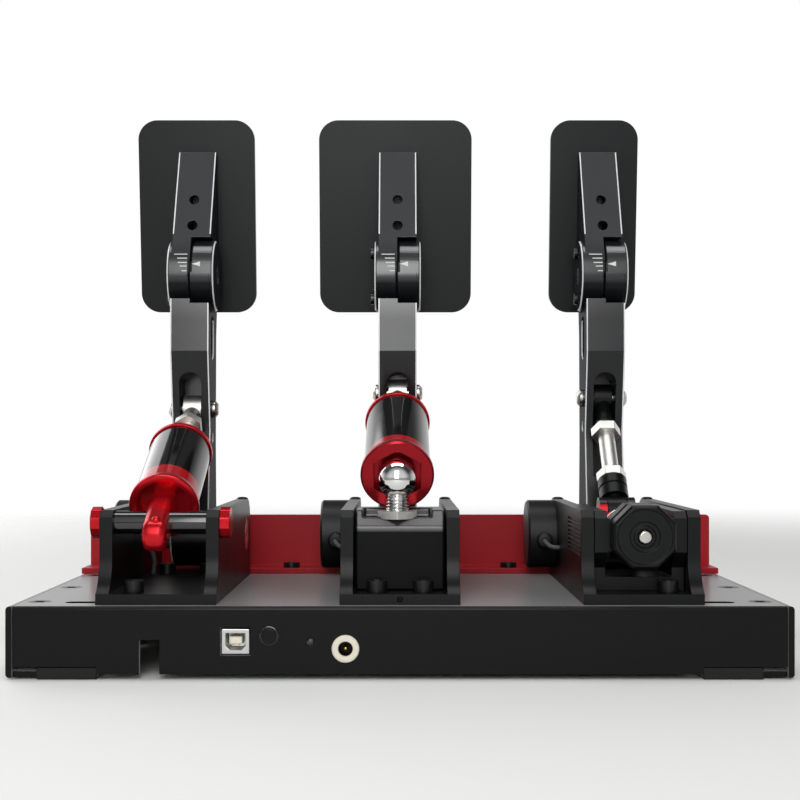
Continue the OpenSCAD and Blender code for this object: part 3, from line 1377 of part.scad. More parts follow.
// Eye with a turned socket that the rod screws into
module rod_end(bore, l) difference() {
    union() {
        bar_x(rod_eye_r, -rod_eye_w / 2, rod_eye_w / 2, [0, 0]);
        spun_y() children();
    }
    bar_x(bore, -rod_eye_w, rod_eye_w, [0, 0]);
    translate([0, l - rod_bite, 0]) rotate([-90, 0, 0])
        cylinder(r = clutch_rod_r + press_gap, h = rod_bite + over);
}

base_tray();
side_rails();
rail_screws();
rubber_feet();
heel_bar();
heel_bar_screws();
controller_board();
board_standoffs();
usb_socket();
power_socket();
status_led();
reset_button();
throttle_frame();
brake_frame();
clutch_frame();
frame_bolts();
clamp_screws();
pivot_bearings();
pivot_sensors();
sensor_leads();
lower_arm(THROTTLE);  // throttle_lower_arm
arm_pins(THROTTLE);  // throttle_arm_pins
upper_arm(THROTTLE);  // throttle_upper_arm
pedal_face(THROTTLE);  // throttle_pedal_face
face_screws(THROTTLE);  // throttle_face_screws
lower_arm(BRAKE);  // brake_lower_arm
arm_pins(BRAKE);  // brake_arm_pins
upper_arm(BRAKE);  // brake_upper_arm
pedal_face(BRAKE);  // brake_pedal_face
face_screws(BRAKE);  // brake_face_screws
lower_arm(CLUTCH);  // clutch_lower_arm
arm_pins(CLUTCH);  // clutch_arm_pins
upper_arm(CLUTCH);  // clutch_upper_arm
pedal_face(CLUTCH);  // clutch_pedal_face
face_screws(CLUTCH);  // clutch_face_screws
throttle_cross_shaft();
throttle_shaft_knobs();
throttle_damper_eye();
throttle_damper_tube();
throttle_damper_collar();
throttle_damper_rod();
throttle_spring();
brake_load_block();
brake_ball_stud();
brake_stud_nut();
brake_socket_cap();
brake_cylinder();
brake_collar();
brake_rod();
brake_elastomers();
clutch_cradle();
clutch_rocker_pin();
clutch_rocker();
clutch_guide_bolt();
clutch_spring();
clutch_spring_cup();
clutch_preload_knob();
clutch_rod();
clutch_rod_ends();
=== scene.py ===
# %% [markdown]
# # Dressing a sim racing pedal set
# Three pedals stand in black channel frames on a folded steel base, and we look at them from the linkage
# side. The CAD frame already holds every rigid part in its place. This lesson sets up a studio, gives each
# part its finish, and models the small things that a drawing leaves out.

# %% Load the frame
import json
import math

import bpy
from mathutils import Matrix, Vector


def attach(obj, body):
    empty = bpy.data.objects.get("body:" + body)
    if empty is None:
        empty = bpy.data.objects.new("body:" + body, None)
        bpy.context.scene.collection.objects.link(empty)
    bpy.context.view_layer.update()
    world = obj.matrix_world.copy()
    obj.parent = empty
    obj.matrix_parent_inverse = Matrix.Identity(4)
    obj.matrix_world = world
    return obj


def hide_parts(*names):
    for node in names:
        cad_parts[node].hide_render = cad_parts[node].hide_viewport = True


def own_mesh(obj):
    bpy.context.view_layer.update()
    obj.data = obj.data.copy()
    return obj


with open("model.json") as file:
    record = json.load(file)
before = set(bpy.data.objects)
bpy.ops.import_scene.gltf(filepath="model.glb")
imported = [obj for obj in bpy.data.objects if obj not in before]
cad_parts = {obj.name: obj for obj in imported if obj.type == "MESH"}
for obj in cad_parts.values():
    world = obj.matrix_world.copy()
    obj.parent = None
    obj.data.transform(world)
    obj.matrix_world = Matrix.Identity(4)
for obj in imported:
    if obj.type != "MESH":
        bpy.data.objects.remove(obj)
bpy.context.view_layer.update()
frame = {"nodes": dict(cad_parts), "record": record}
nodes = frame["nodes"]

# %% [markdown]
# ## The camera
# The photograph's upright lines stay parallel, so its camera looks level, and the picture was framed by
# sliding it upwards, which Blender calls a shift. The two ends of the base and the data socket, whose shell is
# 12 mm wide, give the distance: 600 mm in front of the skirt and 101 mm above the ground.

# %% Camera at the photograph's place
PHOTO_PX, FOCAL_PX, SHIFT_PX = 800, 1435.6, 38
SENSOR_MM = 36
CAMERA_AT = (0, -0.740, 0.1009)
QUARTER = math.radians(90)
bpy.ops.object.camera_add(location=CAMERA_AT, rotation=(QUARTER, 0, 0))
camera = bpy.context.object
camera.name = "photo_camera"
camera.data.sensor_width = SENSOR_MM
camera.data.lens = SENSOR_MM * FOCAL_PX / PHOTO_PX
camera.data.shift_y = SHIFT_PX / PHOTO_PX
bpy.context.scene.camera = camera
print("lens", round(camera.data.lens, 1), "mm")

# %% [markdown]
# ## Nodes and colours
# The world and every finish are small node trees. Writing each link out would hide what they do, so one
# function adds a node, sets it up and wires its inputs. Where it is handed a node instead of a value, it links
# that node's first live output. Colours are written as the hex values that a picture shows, and turned to the
# linear light that Blender adds up.


# %% Adding and wiring nodes
def linear(hex_code):
    """sRGB hex to linear RGBA."""
    parts = [int(hex_code[i:i + 2], 16) / 255 for i in (1, 3, 5)]
    return (*[c / 12.92 if c <= 0.04045 else ((c + 0.055) / 1.055) ** 2.4 for c in parts], 1.0)


def wire(tree, node, wires):
    """Gives a node's inputs a value or colour, or links them to a socket or to another node."""
    for name, value in wires.items():
        if isinstance(value, bpy.types.Node):
            value = next(socket for socket in value.outputs if socket.enabled)
        if isinstance(value, bpy.types.NodeSocket):
            tree.links.new(value, node.inputs[name])
        else:
            node.inputs[name].default_value = linear(value) if isinstance(value, str) else value


def add(tree, kind, wires=None, **settings):
    """Adds a node, sets its settings and wires its inputs."""
    made = tree.nodes.new(kind)
    for name, value in settings.items():
        setattr(made, name, value)
    wire(tree, made, wires or {})
    return made


print("#808080 is", round(linear("#808080")[0], 3), "in linear light")

# %% [markdown]
# ## The studio
# Black gloss is drawn by what it mirrors. The tubes in the photograph mirror bright walls at both sides with a
# dark ceiling between them, and the polished ball mirrors a pale room in front, above a dark base. So the world
# is white round the horizon behind the object, dark overhead, and pale again above the camera. Rays from the
# camera see plain white.

# %% World with bright walls and a dark ceiling
world = bpy.data.worlds.new("white_tent")
world.use_nodes = True
bpy.context.scene.world = world
sky = world.node_tree
sky.nodes.clear()
towards = add(sky, "ShaderNodeTexCoord").outputs["Generated"]
axes = add(sky, "ShaderNodeSeparateXYZ", {"Vector": towards}).outputs
back = add(sky, "ShaderNodeMapRange", {
    "Value": axes["Y"], "From Min": -0.6, "From Max": 0.6, "To Min": 0.06, "To Max": 1.0,
}, interpolation_type="SMOOTHSTEP")
ceiling = add(sky, "ShaderNodeMapRange", {
    "Value": axes["Z"], "From Min": 0.18, "From Max": 0.58, "To Min": 1.0, "To Max": 0.13,
}, interpolation_type="SMOOTHSTEP")
sides = add(sky, "ShaderNodeMapRange", {
    "Value": axes["X"], "From Min": -0.5, "From Max": 0.5, "To Min": 1.15, "To Max": 0.75,
})
shaded = add(sky, "ShaderNodeMath", {0: ceiling, 1: sides}, operation="MULTIPLY")
walls = add(sky, "ShaderNodeMath", {0: back, 1: shaded}, operation="MULTIPLY")
front = add(sky, "ShaderNodeMapRange", {
    "Value": axes["Y"], "From Min": -0.15, "From Max": -0.75, "To Min": 0.0, "To Max": 0.72,
}, interpolation_type="SMOOTHSTEP")
lifted = add(sky, "ShaderNodeMapRange", {
    "Value": axes["Z"], "From Min": 0.0, "From Max": 0.22, "To Min": 0.4, "To Max": 1.0,
}, interpolation_type="SMOOTHSTEP")
room = add(sky, "ShaderNodeMath", {0: front, 1: lifted, 2: walls}, operation="MULTIPLY_ADD")
seen = add(sky, "ShaderNodeLightPath").outputs["Is Camera Ray"]
strength = add(sky, "ShaderNodeMath", {0: room, 1: seen}, operation="MAXIMUM")
glow = add(sky, "ShaderNodeBackground", {"Color": (1, 1, 1, 1), "Strength": strength})
add(sky, "ShaderNodeOutputWorld", {"Surface": glow})
bpy.context.scene.view_settings.view_transform = "Standard"
print("world:", world.name, "of", len(sky.nodes), "nodes")

# %% [markdown]
# A world alone gives flat light. Four soft panels add the highlights and the shadow under the base. Each is
# aimed at the object and given as a radiance, so that its size can change without changing how bright it looks.

# %% Soft panels: name, place, size, radiance
AIM = Vector((0, 0, 0.1))
PANELS = [
    ("panel_front", (-0.05, -1.05, 0.56), (0.40, 0.9), 5.0),
    ("panel_above", (0.0, -0.02, 1.20), (1.0, 0.42), 4.0),
    ("panel_left", (-0.85, 0.70, 0.52), (0.9, 1.0), 1.7),
    ("panel_right", (0.95, 0.85, 0.30), (0.5, 0.5), 0.6),
]
for name, place, (wide, high), radiance in PANELS:
    turned = (AIM - Vector(place)).to_track_quat("-Z", "Y").to_euler()
    bpy.ops.object.light_add(type="AREA", location=place, rotation=turned)
    panel = bpy.context.object
    panel.name = name
    panel.data.shape = "RECTANGLE"
    panel.data.size, panel.data.size_y = wide, high
    panel.data.energy = radiance * math.pi * wide * high
    panel.visible_camera = False
print("panels:", [row[0] for row in PANELS])

# %% [markdown]
# ## Finishes
# One function starts a material and hands back its node tree, shader and place on the object. Every pattern
# reads Object coordinates, which are metres here, so a scale is one over a size in metres. No real surface is
# quite even, so a second function lets noise of a given size vary the colour, the gloss or the height.


# %% Material helpers
def start_finish(name, hex_code, metallic, roughness, **sockets):
    """A new material with its shader's plain values set."""
    made = bpy.data.materials.new(name)
    made.use_nodes = True
    made.diffuse_color = linear(hex_code)
    tree, shader, place = reopen(made)
    wire(tree, shader, {"Base Color": hex_code, "Metallic": metallic, "Roughness": roughness})
    wire(tree, shader, {socket.replace("_", " "): value for socket, value in sockets.items()})
    return made, tree, shader, place


def reopen(finish):
    """The node tree of a material, its shader, and the place on the object."""
    tree = finish.node_tree
    return tree, tree.nodes["Principled BSDF"], add(tree, "ShaderNodeTexCoord").outputs["Object"]


def per_mm(size):
    """Texture scale whose features are this many millimetres wide."""
    return 1000 / size


def vary(tree, shader, place, size_mm, tints=None, gloss=None, relief=None, detail=3):
    """Noise of one size between two tints, two roughnesses, or as a relief of some strength and depth."""
    noise = add(tree, "ShaderNodeTexNoise", {"Vector": place, "Scale": per_mm(size_mm), "Detail": detail})
    if tints:
        tint = add(tree, "ShaderNodeMix", {0: noise, 6: tints[0], 7: tints[1]}, data_type="RGBA")
        wire(tree, shader, {"Base Color": tint})
    if gloss:
        rough = add(tree, "ShaderNodeMapRange", {"Value": noise, "To Min": gloss[0], "To Max": gloss[1]})
        wire(tree, shader, {"Roughness": rough})
    if relief:
        bump = add(tree, "ShaderNodeBump", {"Height": noise, "Strength": relief[0], "Distance": relief[1]})
        wire(tree, shader, {"Normal": bump})


# %% [markdown]
# ### Powder coat
# The base is steel sheet with a baked powder coat. The powder flows together into a skin with a faint orange
# peel, about 1.2 mm from bump to bump, and is semi-gloss: nearly black from the front and pale where it is seen
# flat on, which a little sheen brings out. The heel bar has the same coat in red.

# %% Black and red powder coat
PEEL_DEPTH = 0.00012
black_powder, tree, shader, place = start_finish(
    "black_powder_coat", "#0c0c0d", 0, 0.34, Specular_IOR_Level=0.14, Sheen_Weight=0.4, Sheen_Roughness=0.4)
vary(tree, shader, place, 1.2, ("#09090a", "#0f0f10"), relief=(0.16, PEEL_DEPTH))
vary(tree, shader, place, 45, gloss=(0.22, 0.28), detail=2)
red_powder, tree, shader, place = start_finish("red_powder_coat", "#9e1520", 0, 0.40, Specular_IOR_Level=0.2)
vary(tree, shader, place, 1.4, relief=(0.14, PEEL_DEPTH))
vary(tree, shader, place, 60, ("#95121d", "#a81823"), detail=2)
print("made", black_powder.name, red_powder.name)

# %% [markdown]
# ### Black anodised aluminium
# Frames, arms and faces are cut from aluminium, blasted and dyed black in an acid bath. The oxide is hard and
# satin, with a blasted grain of about 0.3 mm, drawn here at 0.6 mm so that it shows. It mirrors light softly, so
# a face that leans to the sky turns grey. The arms were polished before the bath and shine most, the brake's
# load block least.

# %% Black anodised aluminium: name, dark, light, specular, roughness from and to
ANODISED = [
    ("black_anodised_face", "#0d0f10", "#131517", 0.24, 0.32, 0.42),
    ("black_anodised_arm", "#0e0f12", "#15171a", 0.85, 0.2, 0.27),
    ("black_anodised_frame", "#08090a", "#0c0d0e", 0.2, 0.30, 0.40),
    ("black_anodised_block", "#060707", "#0a0b0b", 0.1, 0.30, 0.40),
]
GRAIN_MM, CLOUD_MM = 0.6, 28
anodised = {}
for name, dark, light, specular, smooth, dull in ANODISED:
    anodised[name], tree, shader, place = start_finish(name, dark, 0, smooth, Specular_IOR_Level=specular)
    vary(tree, shader, place, GRAIN_MM, relief=(0.12, 0.00006), detail=2)
    softened = add(tree, "ShaderNodeBevel", {"Radius": 0.0004}, samples=4)
    wire(tree, shader.inputs["Normal"].links[0].from_node, {"Normal": softened})
    vary(tree, shader, place, CLOUD_MM, (dark, light), (smooth, dull))
print("made", sorted(anodised))

# %% [markdown]
# The load block is matt like the frames, but its upper chamfer was polished and gives back a band of light. Both
# are one surface on one part, so the shine is switched on by height.

# %% Polished chamfer of the load block
CHAMFER_FROM, CHAMFER_TO = 0.0602, 0.0612
tree, shader, place = reopen(anodised["black_anodised_block"])
height = add(tree, "ShaderNodeSeparateXYZ", {"Vector": place}).outputs["Z"]
shine = add(tree, "ShaderNodeMapRange", {
    "Value": height, "From Min": CHAMFER_FROM, "From Max": CHAMFER_TO, "To Min": 0.1, "To Max": 1.0,
})
wire(tree, shader, {"Specular IOR Level": shine})
print("chamfer shines above", CHAMFER_FROM, "m")

# %% [markdown]
# The arms' side edges and the rims of their hinge discs were trimmed after anodising to bare metal, and a
# near-white line 0.6 mm wide is painted there as a painted highlight, brighter than the bare metal alone. Two
# measures find it: how far a point is from the pedal's middle plane, and how far from the hinge's axis. One
# material serves all three arms, so the distance is folded at the pedals' spacing.

# %% Where the arms are bare, with a painted highlight
HINGE_Y, HINGE_Z, HINGE_R = -0.0115, 0.183, 0.018
ARM_LEFT, HALF_PITCH = 0.0012, 0.0515
EDGE_AT, RIM_AT, RIM_REACH = 0.0089, 0.0109, HINGE_R + 0.0045
tree, shader, place = reopen(anodised["black_anodised_arm"])
spot = add(tree, "ShaderNodeSeparateXYZ", {"Vector": place}).outputs
centred = add(tree, "ShaderNodeMath", {0: spot["X"], 1: ARM_LEFT}, operation="ADD")
folded = add(tree, "ShaderNodeMath", {0: centred, 1: HALF_PITCH, 2: -HALF_PITCH}, operation="WRAP")
apart = add(tree, "ShaderNodeMath", {0: folded}, operation="ABSOLUTE")
to_hinge = add(tree, "ShaderNodeVectorMath", {0: place, 1: (0, HINGE_Y, HINGE_Z)}, operation="SUBTRACT")
in_plane = add(tree, "ShaderNodeVectorMath", {0: to_hinge, 1: (0, 1, 1)}, operation="MULTIPLY")
reach = add(tree, "ShaderNodeVectorMath", {0: in_plane}, operation="LENGTH")
on_disc = add(tree, "ShaderNodeMath", {0: reach, 1: RIM_REACH}, operation="LESS_THAN")
trim = add(tree, "ShaderNodeMapRange", {"Value": on_disc, "To Min": EDGE_AT, "To Max": RIM_AT})
outer = add(tree, "ShaderNodeMath", {0: apart, 1: trim}, operation="GREATER_THAN")
true_normal = add(tree, "ShaderNodeNewGeometry").outputs["True Normal"]
normal = add(tree, "ShaderNodeSeparateXYZ", {"Vector": true_normal}).outputs
slope = add(tree, "ShaderNodeMath", {0: normal["X"]}, operation="ABSOLUTE")
edgewise = add(tree, "ShaderNodeMath", {0: slope, 1: 0.85}, operation="LESS_THAN")
# Painted highlight: the mask of the bare edges and rims, which are coloured near white below.
bare_edge_highlight = add(tree, "ShaderNodeMath", {0: outer, 1: edgewise}, operation="MULTIPLY")
print("bare edges beyond", EDGE_AT, "m, bare rims beyond", RIM_AT, "m")

# %% [markdown]
# The flanks were never polished and are matt, and a lighter grey is painted on them as painted sheen. The face
# below the knee looks down at the black base, the rest of the lower arm is duller than the upper one, and the
# upper arm is painted a shade lighter, as painted light.

# %% Colour and shine of the arms
dye_and_painted_light = shader.inputs["Base Color"].links[0].from_socket
# Painted light: above 0.195 m the arm is mixed towards a lighter grey for the light it catches.
painted_upper_light = add(tree, "ShaderNodeMapRange", {
    "Value": spot["Z"], "From Min": 0.195, "From Max": 0.2, "To Min": 0.0, "To Max": 0.6,
})
dye_and_painted_light = add(tree, "ShaderNodeMix", {0: painted_upper_light, 6: dye_and_painted_light, 7: "#2b2c2f"}, data_type="RGBA")
front = add(tree, "ShaderNodeMath", {0: slope, 1: 0.9}, operation="LESS_THAN")
# Painted sheen: faces that point sideways get a lighter grey in place of the sheen they would show.
painted_flank_sheen = add(tree, "ShaderNodeMix", {0: front, 6: "#232428", 7: dye_and_painted_light}, data_type="RGBA")
# Painted highlight: the bare edges and rims get a near-white colour.
tint = add(tree, "ShaderNodeMix", {0: bare_edge_highlight, 6: painted_flank_sheen, 7: "#e4e5e7"}, data_type="RGBA")
knee = add(tree, "ShaderNodeMapRange", {
    "Value": normal["Z"], "From Min": -0.3, "From Max": -0.12, "To Min": 0.12, "To Max": 0.85,
})
shine = add(tree, "ShaderNodeMath", {0: knee, 1: front, 2: 0.002}, operation="MULTIPLY_ADD")
upper = add(tree, "ShaderNodeMapRange", {
    "Value": spot["Z"], "From Min": 0.160, "From Max": 0.170, "To Min": 0.66, "To Max": 1.0,
})
shine = add(tree, "ShaderNodeMath", {0: shine, 1: upper}, operation="MULTIPLY")
wire(tree, shader, {"Base Color": tint, "Specular IOR Level": shine})
print("arm finish:", len(tree.nodes), "nodes")

# %% [markdown]
# ### Red anodised aluminium
# Caps, collars and knobs are turned on a lathe, polished and dyed red. The clear oxide lets the metal shine
# through, so the finish is mostly metallic, with fine turning marks. The brake's cap faces away from the light and
# is painted a deeper red, as painted shade. The clutch rocker is red in its middle, behind the knob, and black
# elsewhere.

# %% Red anodised aluminium
RED_DYE = ("#b90f1b", "#d01825")
red_anodised, tree, shader, place = start_finish("red_anodised_aluminium", "#cf1522", 0.7, 0.26)
turned = add(tree, "ShaderNodeTexWave", {
    "Vector": place, "Scale": per_mm(0.9) / 20, "Distortion": 1.2, "Detail": 1, "Detail Scale": 2,
}, bands_direction="Y")
bump = add(tree, "ShaderNodeBump", {"Height": turned.outputs["Fac"], "Strength": 0.06, "Distance": 0.00004})
wire(tree, shader, {"Normal": bump})
vary(tree, shader, place, 7, RED_DYE, (0.19, 0.31))

# Painted shade: the brake's cap gets a deeper red because it faces away from the light.
shaded_cap_red, tree, shader, place = start_finish("shade_painted_red_anodised_cap", "#98111c", 0.75, 0.24)
vary(tree, shader, place, 7, ("#8c0e19", "#a5151f"), (0.18, 0.30))

RED_FROM, RED_TO = 0.0628, 0.0700
rocker_dye, tree, shader, place = start_finish("two_tone_anodised_rocker", "#b90f1b", 0.5, 0.28)
vary(tree, shader, place, 7, RED_DYE)
red = shader.inputs["Base Color"].links[0].from_socket
height = add(tree, "ShaderNodeSeparateXYZ", {"Vector": place}).outputs["Z"]
above = add(tree, "ShaderNodeMath", {0: height, 1: RED_FROM}, operation="GREATER_THAN")
below = add(tree, "ShaderNodeMath", {0: height, 1: RED_TO}, operation="LESS_THAN")
band = add(tree, "ShaderNodeMath", {0: above, 1: below}, operation="MULTIPLY")
tint = add(tree, "ShaderNodeMix", {0: band, 6: "#0b0b0c", 7: red}, data_type="RGBA")
wire(tree, shader, {"Base Color": tint})
print("made", red_anodised.name, shaded_cap_red.name, rocker_dye.name)

# %% [markdown]
# ### Steel, tin and brass
# Rods, nuts and pins are plated bright, so they mirror the room with a soft edge. Screws are blackened in hot
# salts, which leaves an oily, slightly uneven black. Tin and brass belong to the sockets. All are bare metal with
# a smear or a cloud in the gloss, so one table makes them.

# %% Metals: name, colour, metallic, roughness, spot in mm, gloss from and to, two tints
METALS = [
    ("nickel_plated_steel", "#cfcdc8", 1, 0.2, 5, 0.2, 0.34, ("#c2bfb9", "#dddcd8")),
    ("nickel_and_black_pins", "#cfcdc8", 1, 0.24, 5, 0.2, 0.34, ("#c2bfb9", "#dddcd8")),
    ("satin_zinc_plate", "#d6d5d1", 1, 0.42, 3, 0.36, 0.5, ("#cac8c3", "#e4e3e0")),
    ("blackened_steel", "#1d1d1f", 0.55, 0.36, 2.2, 0.26, 0.46, ("#141416", "#28282a")),
    ("tin_plated_steel", "#c3c4c2", 1, 0.32, 1.5, 0.24, 0.42, None),
    ("turned_brass", "#c9a35a", 1, 0.26, 2, 0.18, 0.36, None),
]
metals = []
for name, colour, metallic, roughness, spot_mm, smooth, dull, tints in METALS:
    made, tree, shader, place = start_finish(name, colour, metallic, roughness)
    vary(tree, shader, place, spot_mm, tints, (smooth, dull), detail=4)
    metals.append(made)
nickel, pins, satin, black_steel, tin, brass = metals
print("made", [made.name for made in metals])

# %% [markdown]
# An arm's pins are one part: those of the hinge are blackened, and the link's pin below is bright. The ball and
# its threaded stud are one part too. It is polished like a bearing, and below the ball a wave across the height
# cuts the thread, with a pitch of 1.5 mm.

# %% Two-tone pins, and the polished ball with its thread
BLACK_FROM, SHANK_TO, THREAD_PITCH = 0.150, 0.0752, 0.0015
tree, shader, place = reopen(pins)
height = add(tree, "ShaderNodeSeparateXYZ", {"Vector": place}).outputs["Z"]
hinge = add(tree, "ShaderNodeMath", {0: height, 1: BLACK_FROM}, operation="GREATER_THAN")
plate = shader.inputs["Base Color"].links[0].from_socket
tint = add(tree, "ShaderNodeMix", {0: hinge, 6: plate, 7: "#3a3a3c"}, data_type="RGBA")
wire(tree, shader, {"Base Color": tint})

polished, tree, shader, place = start_finish("polished_chrome_steel", "#e3e3e2", 1, 0.07)
swirl = add(tree, "ShaderNodeTexNoise", {
    "Vector": place, "Scale": per_mm(3), "Detail": 3, "Distortion": 1.5,
})
rough = add(tree, "ShaderNodeMapRange", {"Value": swirl, "To Min": 0.04, "To Max": 0.11})
height = add(tree, "ShaderNodeSeparateXYZ", {"Vector": place}).outputs["Z"]
thread = add(tree, "ShaderNodeTexWave", {
    "Vector": place, "Scale": 2 * math.pi / (20 * THREAD_PITCH),
}, bands_direction="Z")
shank = add(tree, "ShaderNodeMath", {0: height, 1: SHANK_TO}, operation="LESS_THAN")
groove = add(tree, "ShaderNodeMath", {0: thread.outputs["Fac"], 1: shank}, operation="MULTIPLY")
bump = add(tree, "ShaderNodeBump", {"Height": groove, "Strength": 0.8, "Distance": 0.0005})
wire(tree, shader, {"Roughness": rough, "Normal": bump})
print("made", pins.name, polished.name)

# %% [markdown]
# ### Gloss tubes
# The damper and cylinder tubes are polished and dyed black: a dark mirror. Near the end caps their dye is red.
# How far a point lies along the tube's axis is a dot product, and that decides between the two dyes.

# %% Gloss tubes: name, foot of the linkage, its axis, and how far along it the red reaches
DAMPER_FOOT, DAMPER_AXIS = Vector((-0.1042, -0.119, 0.0644)), Vector((0, 0.899508, 0.436904))
BRAKE_FOOT, BRAKE_AXIS = Vector((-0.0012, -0.110, 0.083)), Vector((0, 0.921364, 0.388701))
NO_RED = -0.1
TUBES = [
    ("polished_black_shaft", DAMPER_FOOT, DAMPER_AXIS, NO_RED),
    ("polished_damper_tube", DAMPER_FOOT, DAMPER_AXIS, 0.0275),
    ("polished_brake_tube", BRAKE_FOOT, BRAKE_AXIS, 0.0150),
]
tubes = {}
for name, foot, axis, red_to in TUBES:
    tubes[name], tree, shader, place = start_finish(name, "#0a0a0b", 0, 0.08, Specular_IOR_Level=0.9)
    vary(tree, shader, place, 9, gloss=(0.06, 0.13))
    along = add(tree, "ShaderNodeVectorMath", {0: place, 1: axis}, operation="DOT_PRODUCT")
    sleeve = add(tree, "ShaderNodeMath", {0: along, 1: foot.dot(axis) + red_to}, operation="LESS_THAN")
    tint = add(tree, "ShaderNodeMix", {0: sleeve, 6: "#0a0a0b", 7: "#a5141e"}, data_type="RGBA")
    wire(tree, shader, {"Base Color": tint})
print("made", sorted(tubes))

# %% [markdown]
# ### Rubber, plastics and the circuit board
# Feet are moulded rubber, and the sensor housings are moulded plastic with a fine spark-eroded grain. Cable
# jackets, nylon, polyurethane and the lamp's epoxy are moulded too, so one table of colours, gloss and grain
# makes them all. The board's solder mask is green, with paler lines where copper tracks lie under it.

# %% Moulded finishes: name, dark, light, roughness, grain in mm, grain depth
MOULDED = {
    "moulded_rubber": ("#121213", "#1c1c1d", 0.72, 0.8, 0.00012),
    "moulded_black_plastic": ("#121213", "#1b1b1d", 0.44, 0.5, 0.00006),
    "grey_cable_jacket": ("#4b4c4f", "#5d5e61", 0.5, 0.9, 0.00004),
    "cream_nylon": ("#d6d0be", "#e4dfcf", 0.42, 0.7, 0.00003),
    "red_polyurethane": ("#8d1a1c", "#a62225", 0.38, 1.5, 0.00004),
    "clear_lens_epoxy": ("#3c3c3f", "#4c4c50", 0.3, 1.0, 0.00001),
}
moulded = {}
for name, (dark, light, dull, grain_mm, depth) in MOULDED.items():
    moulded[name], tree, shader, place = start_finish(name, dark, 0, dull, Specular_IOR_Level=0.28)
    vary(tree, shader, place, grain_mm, (dark, light), relief=(0.25, depth))

solder_mask, tree, shader, place = start_finish("green_solder_mask", "#0f4a2a", 0, 0.28)
tracks = add(tree, "ShaderNodeTexBrick", {
    "Vector": place, "Scale": per_mm(8), "Mortar Size": 0.04,
    "Color1": "#0e4527", "Color2": "#11502e", "Mortar": "#1c6b3f",
})
wire(tree, shader, {"Base Color": tracks})
print("made", sorted(moulded), solder_mask.name)

# %% [markdown]
# ## Giving each CAD part its finish
# The record names a finish slot for every part, so one table from slot to material dresses the whole frame. Some
# parts share a slot but were worked further, and a second table names those.

# %% Finish tables
PEDALS = ("throttle", "brake", "clutch")
FINISH = {
    "black_powder_coat": black_powder, "black_anodised": anodised["black_anodised_frame"],
    "red_anodised": red_anodised, "red_paint": red_powder, "zinc_steel": nickel, "black_screw": black_steel,
    "chrome_ball": polished, "gloss_tube": tubes["polished_black_shaft"], "socket_shell": tin, "brass": brass,
    "foot_rubber": moulded["moulded_rubber"], "red_elastomer": moulded["red_polyurethane"],
    "black_plastic": moulded["moulded_black_plastic"], "lead_jacket": moulded["grey_cable_jacket"],
    "cream_plastic": moulded["cream_nylon"], "led_lens": moulded["clear_lens_epoxy"], "board": solder_mask,
}
OWN = {
    "clutch_rocker": rocker_dye, "brake_socket_cap": shaded_cap_red, "reset_button": black_powder,
    "brake_load_block": anodised["black_anodised_block"],
    "clutch_preload_knob": anodised["black_anodised_frame"],
    "throttle_cross_shaft": tubes["polished_black_shaft"],
    "throttle_damper_tube": tubes["polished_damper_tube"], "brake_cylinder": tubes["polished_brake_tube"],
    "throttle_damper_rod": satin, "brake_rod": satin, "brake_stud_nut": satin, "clutch_rod": satin,
}
for pedal in PEDALS:
    OWN[pedal + "_pedal_face"] = anodised["black_anodised_face"]
    OWN[pedal + "_upper_arm"] = OWN[pedal + "_lower_arm"] = anodised["black_anodised_arm"]
    OWN[pedal + "_arm_pins"] = pins
for part in frame["record"]["subparts"]:
    node = nodes[part["node"]]
    node.data.materials.clear()
    node.data.materials.append(OWN.get(part["node"], FINISH[part["material_slot"]]))

# %% [markdown]
# ## Broken edges
# Nothing machined has a knife edge. A Bevel modifier breaks every sharp edge by a few tenths of a millimetre, so
# that each catches a thread of light. Weld closes the loose triangles first, Decimate joins the flats, and
# Weighted Normal keeps the large faces flat in the light.


# %% Edge breaking
def break_edges(piece, width_mm, segments=2, clamp=True):
    """Rounds the sharp edges of a CAD part, or of a piece made from one."""
    weld = piece.modifiers.new("close_triangles", "WELD")
    weld.merge_threshold = 0.00002
    flat = piece.modifiers.new("join_flats", "DECIMATE")
    flat.decimate_type, flat.angle_limit = "DISSOLVE", math.radians(0.6)
    edge = piece.modifiers.new("broken_edge", "BEVEL")
    edge.width, edge.segments, edge.miter_outer = width_mm / 1000, segments, "MITER_ARC"
    edge.limit_method, edge.angle_limit, edge.use_clamp_overlap = "ANGLE", math.radians(32), clamp
    piece.modifiers.new("even_shading", "WEIGHTED_NORMAL").keep_sharp = True


EDGES_MM = {
    0.45: [pedal + "_frame" for pedal in PEDALS],
    0.4: ["clutch_cradle", "clutch_preload_knob", "clutch_spring_cup", "heel_bar"],
    0.3: [pedal + "_upper_arm" for pedal in PEDALS] + [
        "throttle_damper_collar", "brake_socket_cap", "brake_collar", "throttle_shaft_knobs", "clutch_rod_ends",
        "pivot_sensors", "rubber_feet"],
    0.2: [pedal + "_arm_pins" for pedal in PEDALS] + [
        "frame_bolts", "heel_bar_screws", "clutch_rod", "throttle_damper_rod", "brake_rod", "brake_stud_nut",
        "clutch_guide_bolt", "reset_button"],
}
for width_mm, names in EDGES_MM.items():
    for name in names:
        break_edges(nodes[name], width_mm)
break_edges(nodes["brake_load_block"], 1.0, segments=3, clamp=False)
print("broken edges on", 1 + sum(map(len, EDGES_MM.values())), "parts")

# %% [markdown]
# ## Modelling the small pieces
# What is left is small and soft: springs, rubber rings, leads, sockets, and the marks on the tilt hinges. Each
# starts from a primitive and is shaped with edit-mode tools. An operator works on all that is selected, so one
# helper starts a piece with nothing else selected, and one selects the faces or points that pass a test.


# %% Helpers that start a piece and shape it
def mode(name):
    """Goes into edit mode, or back to object mode."""
    bpy.ops.object.mode_set(mode=name)


